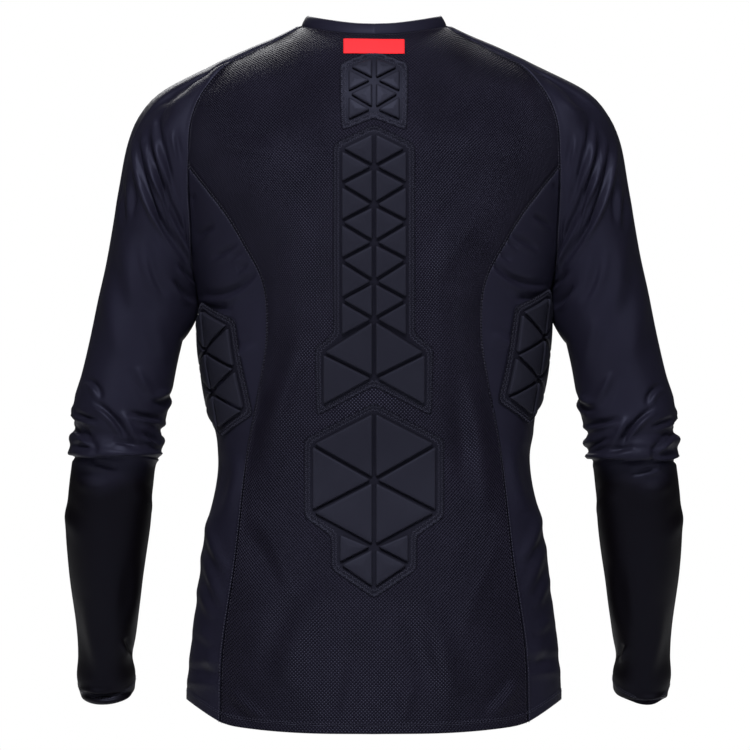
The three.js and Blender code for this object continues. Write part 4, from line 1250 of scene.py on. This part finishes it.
def sew(name, paths, thread, spacing, length, thickness, seed, lean=0.0):
    """A row of real stitches along each path, as one plain mesh."""
    guide = paths_object(name, paths)
    group = bpy.data.node_groups.get("stitches_along_edges") or stitch_group()
    modifier = guide.modifiers.new("stitches", "NODES")
    modifier.node_group = group
    values = {
        "Spacing": spacing * MM,
        "Length": length * MM,
        "Thickness": thickness * MM,
        "Lean": lean,
        "Seed": seed,
        "Thread": thread,
    }
    for item in group.interface.items_tree:
        if item.item_type == "SOCKET" and item.in_out == "INPUT" and item.name in values:
            modifier[item.identifier] = values[item.name]
    guide.update_tag()
    bpy.context.view_layer.update()
    sewn = guide.evaluated_get(bpy.context.evaluated_depsgraph_get())
    mesh = bpy.data.meshes.new_from_object(sewn)
    mesh.name = name
    guide.modifiers.clear()
    old, guide.data = guide.data, mesh
    bpy.data.meshes.remove(old)
    if "out" in mesh.attributes:
        mesh.attributes.remove(mesh.attributes["out"])
    mesh.shade_smooth()
    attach(guide, "root")
    return guide


def lines_beside(grid, edge, offsets, lift, looped=False):
    """Thread paths along an edge of a grid, at distances in from it."""
    normal = outward(grid, looped)
    paths = []
    if edge in ("left", "right"):
        grid, normal = grid.transpose(1, 0, 2), normal.transpose(1, 0, 2)
    if edge in ("top", "right"):
        grid, normal = grid[::-1], normal[::-1]
    run = run_along(grid, 0)
    for offset in offsets:
        line = np.empty_like(grid[0])
        out = np.empty_like(line)
        for c in range(grid.shape[1]):
            for k in range(3):
                line[c, k] = np.interp(offset, run[:, c], grid[:, c, k])
                out[c, k] = np.interp(offset, run[:, c], normal[:, c, k])
        out = unit(out)
        line = line + out * lift
        paths.append((line[:-1], out[:-1], True) if looped else (line, out, False))
    return paths


# Materials


class Surface:
    """A material's node tree, in metres, with short ways to add maths and textures."""

    TINT = (0.62, 0.66, 1, 1)  # the gloss is bluish

    def __init__(self, name, color, roughness, specular):
        self.material = bpy.data.materials.new(name)
        self.material.use_nodes = True
        self.nodes, self.link = self.material.node_tree.nodes, self.material.node_tree.links.new
        self.shader = self.nodes["Principled BSDF"]
        for key, value in (
            ("Base Color", (*color, 1)),
            ("Roughness", roughness),
            ("Specular IOR Level", specular),
            ("Specular Tint", self.TINT),
        ):
            self.shader.inputs[key].default_value = value

    def node(self, kind, **settings):
        return add_node(self.nodes, kind, **settings)

    def math(self, operation, first, second=0.0, third=0.0):
        made = self.node("ShaderNodeMath", operation=operation)
        for socket, value in zip(made.inputs, (first, second, third)):
            if isinstance(value, (int, float)):
                socket.default_value = value
            else:
                self.link(value, socket)
        return made.outputs[0]

    def cloth_axes(self):
        """Distances across and along the cloth, in metres."""
        split = self.node("ShaderNodeSeparateXYZ")
        self.link(self.node("ShaderNodeTexCoord").outputs["UV"], split.inputs[0])
        return split.outputs["X"], split.outputs["Y"]

    def wave(self, distance, pitch):
        return self.math("COSINE", self.math("MULTIPLY", distance, 2 * math.pi / pitch))

    def noise(self, source, scale, detail=2.0):
        made = self.node("ShaderNodeTexNoise")
        made.inputs["Scale"].default_value = scale
        made.inputs["Detail"].default_value = detail
        self.link(self.node("ShaderNodeTexCoord").outputs[source], made.inputs["Vector"])
        return made.outputs["Fac"]

    def ramp(self, factor, low, high):
        """Base colour between two shades, the second one where the factor is 1."""
        made = self.node("ShaderNodeMix", data_type="RGBA")
        made.inputs["A"].default_value = (*low, 1)
        made.inputs["B"].default_value = (*high, 1)
        self.link(factor, made.inputs["Factor"])
        self.link(made.outputs["Result"], self.shader.inputs["Base Color"])

    def bump(self, height, depth, strength=1.0):
        made = self.node("ShaderNodeBump")
        made.inputs["Distance"].default_value = depth * MM
        made.inputs["Strength"].default_value = strength
        self.link(height, made.inputs["Height"])
        self.link(made.outputs["Normal"], self.shader.inputs["Normal"])


def mesh_knit():
    """Open knit with a staggered lattice of eyelets between small glossy bars; the eyelets are real
    openings, painted near black as painted shade inside them.
    """
    bar, hole_shade = (0.0062, 0.0053, 0.0105), (0.0005, 0.0004, 0.001)
    surface = Surface("mesh_knit_cloth", bar, roughness=0.38, specular=0.07)
    across, up = surface.cloth_axes()
    lattice = surface.math("MULTIPLY", surface.wave(across, pitch=0.0037), surface.wave(up, pitch=0.0038))
    eyelet = surface.math("MULTIPLY", surface.math("ADD", lattice, 1.0), 0.5)
    tone_part = surface.noise("Object", scale=22.0)
    shade = surface.math("MULTIPLY_ADD", surface.math("SUBTRACT", tone_part, 0.5), 0.5, eyelet)
    # the eyelets get the near-black painted shade of the openings, the bars keep the cloth's own colour
    surface.ramp(shade, bar, hole_shade)
    surface.bump(surface.math("SUBTRACT", 1.0, eyelet), depth=0.8)
    return surface.material


def smooth_knit(name, painted_shade_up_to):
    """Smooth stretch knit with fine wales; below a distance up the cloth it is painted darker: painted
    shade.
    """
    # the first colour is the near-black painted shade and the dark end of the random tone, the second is
    # the cloth's own colour
    shade_and_dark_tone, cloth_tone = (0.0008, 0.0005, 0.0006), (0.0072, 0.0069, 0.0136)
    surface = Surface(name, cloth_tone, roughness=0.45, specular=0.07)
    across, up = surface.cloth_axes()
    wales = surface.math("MULTIPLY", surface.wave(across, pitch=0.0011), surface.wave(up, pitch=0.0014))
    # 0 below the given distance up the cloth, where the painted shade lies, and 1 above it
    unshaded = surface.node("ShaderNodeMapRange", interpolation_type="SMOOTHSTEP")
    for key, past in (("From Min", -0.03), ("From Max", 0.004)):
        unshaded.inputs[key].default_value = painted_shade_up_to + past
    surface.link(up, unshaded.inputs["Value"])
    tone_part = surface.math("MULTIPLY_ADD", surface.noise("Object", scale=16.0), 0.5, 0.5)
    shade = surface.math("MULTIPLY", tone_part, surface.math("MULTIPLY_ADD", unshaded.outputs[0], 0.95, 0.05))
    # near black in the painted shade, and a random darker tone elsewhere
    surface.ramp(shade, shade_and_dark_tone, cloth_tone)
    surface.bump(wales, depth=0.05, strength=0.5)
    return surface.material


def stretch_knit():
    return smooth_knit("stretch_knit_cloth", NO_SHADED_PART)


def sleeve_knit():
    # the forearm above the cuff is painted darker: painted shade
    return smooth_knit("sleeve_knit_cloth", SHADED_FOREARM * MM)


def pad_cover():
    """Matt cover drawn over the foam, darker on the backing of the stitched border and between the blocks.
    """
    border, block = (0.003, 0.0028, 0.0052), (0.0085, 0.0086, 0.0134)
    surface = Surface("pad_cover_cloth", block, roughness=0.5, specular=0.06)
    foam, _ = surface.cloth_axes()
    fine = surface.noise("Object", scale=900.0, detail=3.0)
    # the foam blocks are lighter than the backing round and between them
    tone_part = surface.math("MULTIPLY", foam, 0.7)
    shade = surface.math("MULTIPLY_ADD", surface.noise("Object", scale=45.0), 0.3, tone_part)
    surface.ramp(shade, border, block)
    surface.bump(fine, depth=0.06, strength=0.6)
    return surface.material


def label_weave():
    surface = Surface("label_weave_cloth", (0.62, 0.018, 0.022), roughness=0.6, specular=0.05)
    across, up = surface.cloth_axes()
    weave = surface.math("MULTIPLY", surface.wave(across, pitch=0.0009), surface.wave(up, pitch=0.0007))
    surface.bump(weave, depth=0.05, strength=0.5)
    return surface.material


def thread():
    return Surface("thread_cloth", (0.02, 0.02, 0.03), roughness=0.5, specular=0.15).material


def join_thread():
    return Surface("join_thread_cloth", (0.0012, 0.0012, 0.002), roughness=0.7, specular=0.02).material


def seam_thread():
    return Surface("seam_thread_cloth", (0.03, 0.029, 0.042), roughness=0.5, specular=0.15).material


def cached(maker):
    """The material that a function makes, made once."""
    return bpy.data.materials.get(f"{maker.__name__}_cloth") or maker()


# Add-on


class ShirtSettings(bpy.types.PropertyGroup):
    """Sizes of the cloth, pads and stitches."""

    detail: IntProperty(name="Detail", description="Fineness of the cloth's grids", default=6, min=2)
    cloth: FloatProperty(name="Cloth", description="Thickness of one layer, in mm", default=0.9)
    pad_lift: FloatProperty(name="Pad lift", description="Backing above the cloth, in mm", default=0.4)
    side_pad_lift: FloatProperty(
        name="Side pad lift", description="Side backing above the cloth and its seam, in mm", default=1.1
    )
    stitch: FloatProperty(name="Stitch", description="Length of one stitch, in mm", default=2.6)
    thread: FloatProperty(name="Thread", description="Thickness of the thread, in mm", default=0.6)


class StageSettings(bpy.types.PropertyGroup):
    """Camera and light."""

    distance: FloatProperty(
        name="Distance", description="From camera to shirt", default=16.0, subtype="DISTANCE"
    )
    level: FloatProperty(
        name="Level", description="Height of the camera", default=-0.328, subtype="DISTANCE"
    )
    width: FloatProperty(
        name="Width", description="Width seen at the shirt", default=0.78, subtype="DISTANCE"
    )
    floor: FloatProperty(
        name="Floor", description="Height of the floor", default=-0.95, subtype="DISTANCE"
    )
    sky: FloatProperty(name="Sky", description="Light that the white surroundings throw", default=0.07)
    key: FloatProperty(name="Key", description="Power of the main light", default=165.0, subtype="POWER")
    side: FloatProperty(
        name="Side", description="Power of each side light", default=26.0, subtype="POWER"
    )
    front: FloatProperty(
        name="Front", description="Power of the light before the shirt", default=70.0, subtype="POWER"
    )


def settings():
    return bpy.context.scene.shirt


class SHIRT_OT_torso(bpy.types.Operator):
    """Knit back, front and side panels with creases and turned hems"""

    bl_idname = "shirt.torso"
    bl_label = "Torso panels"

    def execute(self, context):
        s = settings()
        plain = max(s.detail - FRONT_COARSER, FRONT_LEAST)
        pieces = (
            ("back_panel", back_grid(s.detail), "mesh_knit", mesh_knit),
            ("front_panel", front_grid(plain), "stretch_knit", stretch_knit),
            ("side_panel_left", side_grid(s.detail, 1), "stretch_knit", stretch_knit),
            ("side_panel_right", side_grid(s.detail, -1), "stretch_knit", stretch_knit),
        )
        for name, grid, slot, maker in pieces:
            grid = pull_in(grid, ("left", "right", "top"))
            made = shell(f"{name}_cloth", grid, centred_uv(grid), s.cloth)
            finish_piece(made, slot, cached(maker), name)
            declare_cut(made, grid, KNIT_STRETCH)
        return {"FINISHED"}


class SHIRT_OT_sleeves(bpy.types.Operator):
    """One-piece raglan sleeves with gathered elbows and cuff hems"""

    bl_idname = "shirt.sleeves"
    bl_label = "Sleeves"

    def execute(self, context):
        s = settings()
        for name, mirror in (("sleeve_left", 1), ("sleeve_right", -1)):
            grid = pull_in(sleeve_grid(s.detail, mirror), ("top",))
            made = shell(f"{name}_cloth", grid, centred_uv(grid), s.cloth, looped=True)
            finish_piece(made, "stretch_knit", cached(sleeve_knit), name)
            declare_cut(made, grid, KNIT_STRETCH)
        return {"FINISHED"}


class SHIRT_OT_neck(bpy.types.Operator):
    """Folded neckband and the bare label under it"""

    bl_idname = "shirt.neck"
    bl_label = "Neckband and label"

    def execute(self, context):
        rings = neckband_rings(settings().detail, BAND_SECTION)
        band = closed_tube("neckband_cloth", rings)
        finish_piece(band, "stretch_knit", cached(stretch_knit), "neckband")
        face = rings[BAND_FACE_ROW]
        around = distances(face)[-1] * MM
        grid = label_grid()
        label = shell("neck_label_cloth", grid, centred_uv(grid), LABEL["thick"])
        finish_piece(label, "label", cached(label_weave), "neck_label")
        declare_cut(label, grid, 0)
        return {"FINISHED"}


class SHIRT_OT_spine_pads(bpy.types.Operator):
    """Foam blocks in stitched covers down the spine"""

    bl_idname = "shirt.spine_pads"
    bl_label = "Spine pads"

    def execute(self, context):
        for name, pad in SPINE_PADS.items():
            made = pad_mesh(f"{name}_cover", pad, over_back, settings().pad_lift, inward=True)
            finish_piece(made, "pad_cover", cached(pad_cover), name)
        return {"FINISHED"}


class SHIRT_OT_side_pads(bpy.types.Operator):
    """Foam blocks in stitched covers over the ribs"""

    bl_idname = "shirt.side_pads"
    bl_label = "Side pads"

    def execute(self, context):
        for name, (mirror, drop) in SIDE_PADS.items():
            place = over_side(mirror, drop)
            made = pad_mesh(f"{name}_cover", SIDE_PAD, place, settings().side_pad_lift, inward=mirror < 0)
            finish_piece(made, "pad_cover", cached(pad_cover), name)
        return {"FINISHED"}


def pad_paths(pad, place, lift):
    """Stitch lines round a pad's border."""
    paths = []
    for out in PAD_STITCH_ROWS:
        x, z = pad_outline(pad, out).T
        here, above = place(x, z, lift + 0 * x), place(x, z, lift + 1.0 + 0 * x)
        paths.append((here, unit(above - here), True))
    return paths


class SHIRT_OT_stitching(bpy.types.Operator):
    """Flat seams, turned hems and the zigzag rows round the pads"""

    bl_idname = "shirt.stitching"
    bl_label = "Stitching"

    def execute(self, context):
        s = settings()
        joins, seams, hems, pads = [], [], [], []
        for mirror in (1, -1):
            side, arm = side_grid(STITCH_DETAIL, mirror), sleeve_grid(STITCH_DETAIL, mirror)
            for paths, offset, lift in ((joins, JOIN_OFFSET, 0.0), (seams, SEAM_OFFSET, SEAM_LIFT)):
                paths += lines_beside(side, "left", (offset,), lift)
                paths += lines_beside(side, "right", (offset,), lift)
                paths += lines_beside(arm, "top", (offset,), lift, looped=True)
            hems += lines_beside(side, "bottom", HEM_OFFSETS, HEM_LIFT)
            hems += lines_beside(arm, "bottom", HEM_OFFSETS, HEM_LIFT, looped=True)
        for grid in (back_grid(STITCH_DETAIL), front_grid(STITCH_DETAIL)):
            for edge in ("left", "right", "top"):
                seams += lines_beside(grid, edge, (SEAM_OFFSET,), SEAM_LIFT)
            hems += lines_beside(grid, "bottom", HEM_OFFSETS, HEM_LIFT)
        for pad in SPINE_PADS.values():
            pads += pad_paths(pad, over_back, s.pad_lift + BACKING)
        for mirror, drop in SIDE_PADS.values():
            pads += pad_paths(SIDE_PAD, over_side(mirror, drop), s.side_pad_lift + BACKING)
        plain, dark, pale = cached(thread), cached(join_thread), cached(seam_thread)
        run = {"spacing": s.stitch * 1.25, "length": s.stitch, "thickness": s.thread}
        thick = s.thread * 1.3
        sew("seam_stitches", seams, pale, seed=3, **run)
        sew("join_stitches", joins, dark, 1.1, length=s.stitch * 1.5, thickness=thick, lean=1.2, seed=2)
        sew("hem_stitches", hems, plain, seed=4, **run)
        sew("pad_stitches", pads, plain, 2.2, length=s.stitch * 1.6, thickness=s.thread, lean=1.0, seed=5)
        return {"FINISHED"}


def floor_mesh(height):
    """Square floor of pale, plain material."""
    material = bpy.data.materials.new("pale_floor")
    material.use_nodes = True
    material.node_tree.nodes["Principled BSDF"].inputs["Base Color"].default_value = FLOOR_COLOR
    mesh = bpy.data.meshes.new("floor")
    corners = ((-1, -1), (1, -1), (1, 1), (-1, 1))
    mesh.from_pydata([(x * FLOOR_HALF, y * FLOOR_HALF, height) for x, y in corners], [], [(0, 1, 2, 3)])
    mesh.materials.append(material)
    return mesh


def white_world(strength_off_camera):
    """White surroundings for the camera, which throw only a little light on the cloth."""
    world = bpy.data.worlds.new("white_surroundings")
    world.use_nodes = True
    nodes, link = world.node_tree.nodes, world.node_tree.links.new
    background = nodes["Background"]
    background.inputs["Color"].default_value = (1, 1, 1, 1)
    seen, strength = nodes.new("ShaderNodeLightPath"), nodes.new("ShaderNodeMapRange")
    strength.inputs["To Min"].default_value = strength_off_camera
    link(seen.outputs["Is Camera Ray"], strength.inputs["Value"])
    link(strength.outputs[0], background.inputs["Strength"])
    return world


class SHIRT_OT_stage(bpy.types.Operator):
    """Pale floor, soft light and the camera behind the shirt"""

    bl_idname = "shirt.stage"
    bl_label = "Stage"

    def execute(self, context):
        scene, s = context.scene, context.scene.shirt_stage
        floor = bpy.data.objects.new("floor", floor_mesh(s.floor))
        staged = [floor]
        for name, place, size, power in (
            ("key_light", (0.1, 2.1, 1.9), 0.5, s.key),
            ("left_light", (2.1, 2.4, 0.5), 1.0, s.side),
            ("right_light", (-2.1, 2.4, 0.5), 1.0, s.side),
            ("front_light", (0.4, -2.6, 1.6), 1.8, s.front),
        ):
            lamp = bpy.data.lights.new(name, "AREA")
            lamp.size, lamp.energy = size, power
            light = bpy.data.objects.new(name, lamp)
            light.location = place
            light.rotation_euler = (LIT_PLACE - light.location).to_track_quat("-Z", "Y").to_euler()
            staged.append(light)
        for made in staged:
            scene.collection.objects.link(made)
            made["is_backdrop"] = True
        scene.world = white_world(s.sky)
        scene.view_settings.view_transform = "Standard"
        camera = bpy.data.cameras.new("camera")
        camera.sensor_width = SENSOR
        camera.clip_end = SIGHT
        camera.lens = SENSOR * s.distance / s.width
        seer = bpy.data.objects.new("camera", camera)
        seer.location = (PHOTO_MIDDLE_X, s.distance, s.level)
        seer.rotation_euler = (math.pi / 2, 0, math.pi)
        scene.collection.objects.link(seer)
        scene.camera = seer
        return {"FINISHED"}


OPERATORS = (
    SHIRT_OT_torso,
    SHIRT_OT_sleeves,
    SHIRT_OT_neck,
    SHIRT_OT_spine_pads,
    SHIRT_OT_side_pads,
    SHIRT_OT_stitching,
    SHIRT_OT_stage,
)


class VIEW3D_PT_shirt(bpy.types.Panel):
    """Builds the shirt piece by piece"""

    bl_label = "Padded compression shirt"
    bl_space_type = "VIEW_3D"
    bl_region_type = "UI"
    bl_category = "Shirt"

    def draw(self, context):
        for group in (context.scene.shirt, context.scene.shirt_stage):
            column = self.layout.column(align=True)
            for name in group.bl_rna.properties.keys():
                if name not in ("rna_type", "name"):
                    column.prop(group, name)
        for operator in OPERATORS:
            self.layout.operator(operator.bl_idname)


CLASSES = (ShirtSettings, StageSettings, *OPERATORS, VIEW3D_PT_shirt)


def register():
    for cls in CLASSES:
        bpy.utils.register_class(cls)
    bpy.types.Scene.shirt = PointerProperty(type=ShirtSettings)
    bpy.types.Scene.shirt_stage = PointerProperty(type=StageSettings)


def unregister():
    del bpy.types.Scene.shirt_stage
    del bpy.types.Scene.shirt
    for cls in reversed(CLASSES):
        bpy.utils.unregister_class(cls)


def write_sizes():
    """Works out the frame's box and the visual model's box as plain lists; they are not kept."""
    boxes = {"cad": CAD_BOUNDS, "visual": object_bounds()}
    plain = {name: [list(low), list(high)] for name, (low, high) in boxes.items()}


def main():
    register()
    for operator in (
        bpy.ops.shirt.torso,
        bpy.ops.shirt.sleeves,
        bpy.ops.shirt.neck,
        bpy.ops.shirt.spine_pads,
        bpy.ops.shirt.side_pads,
        bpy.ops.shirt.stitching,
        bpy.ops.shirt.stage,
    ):
        operator()
    write_sizes()


if __name__ == "__main__":
    main()
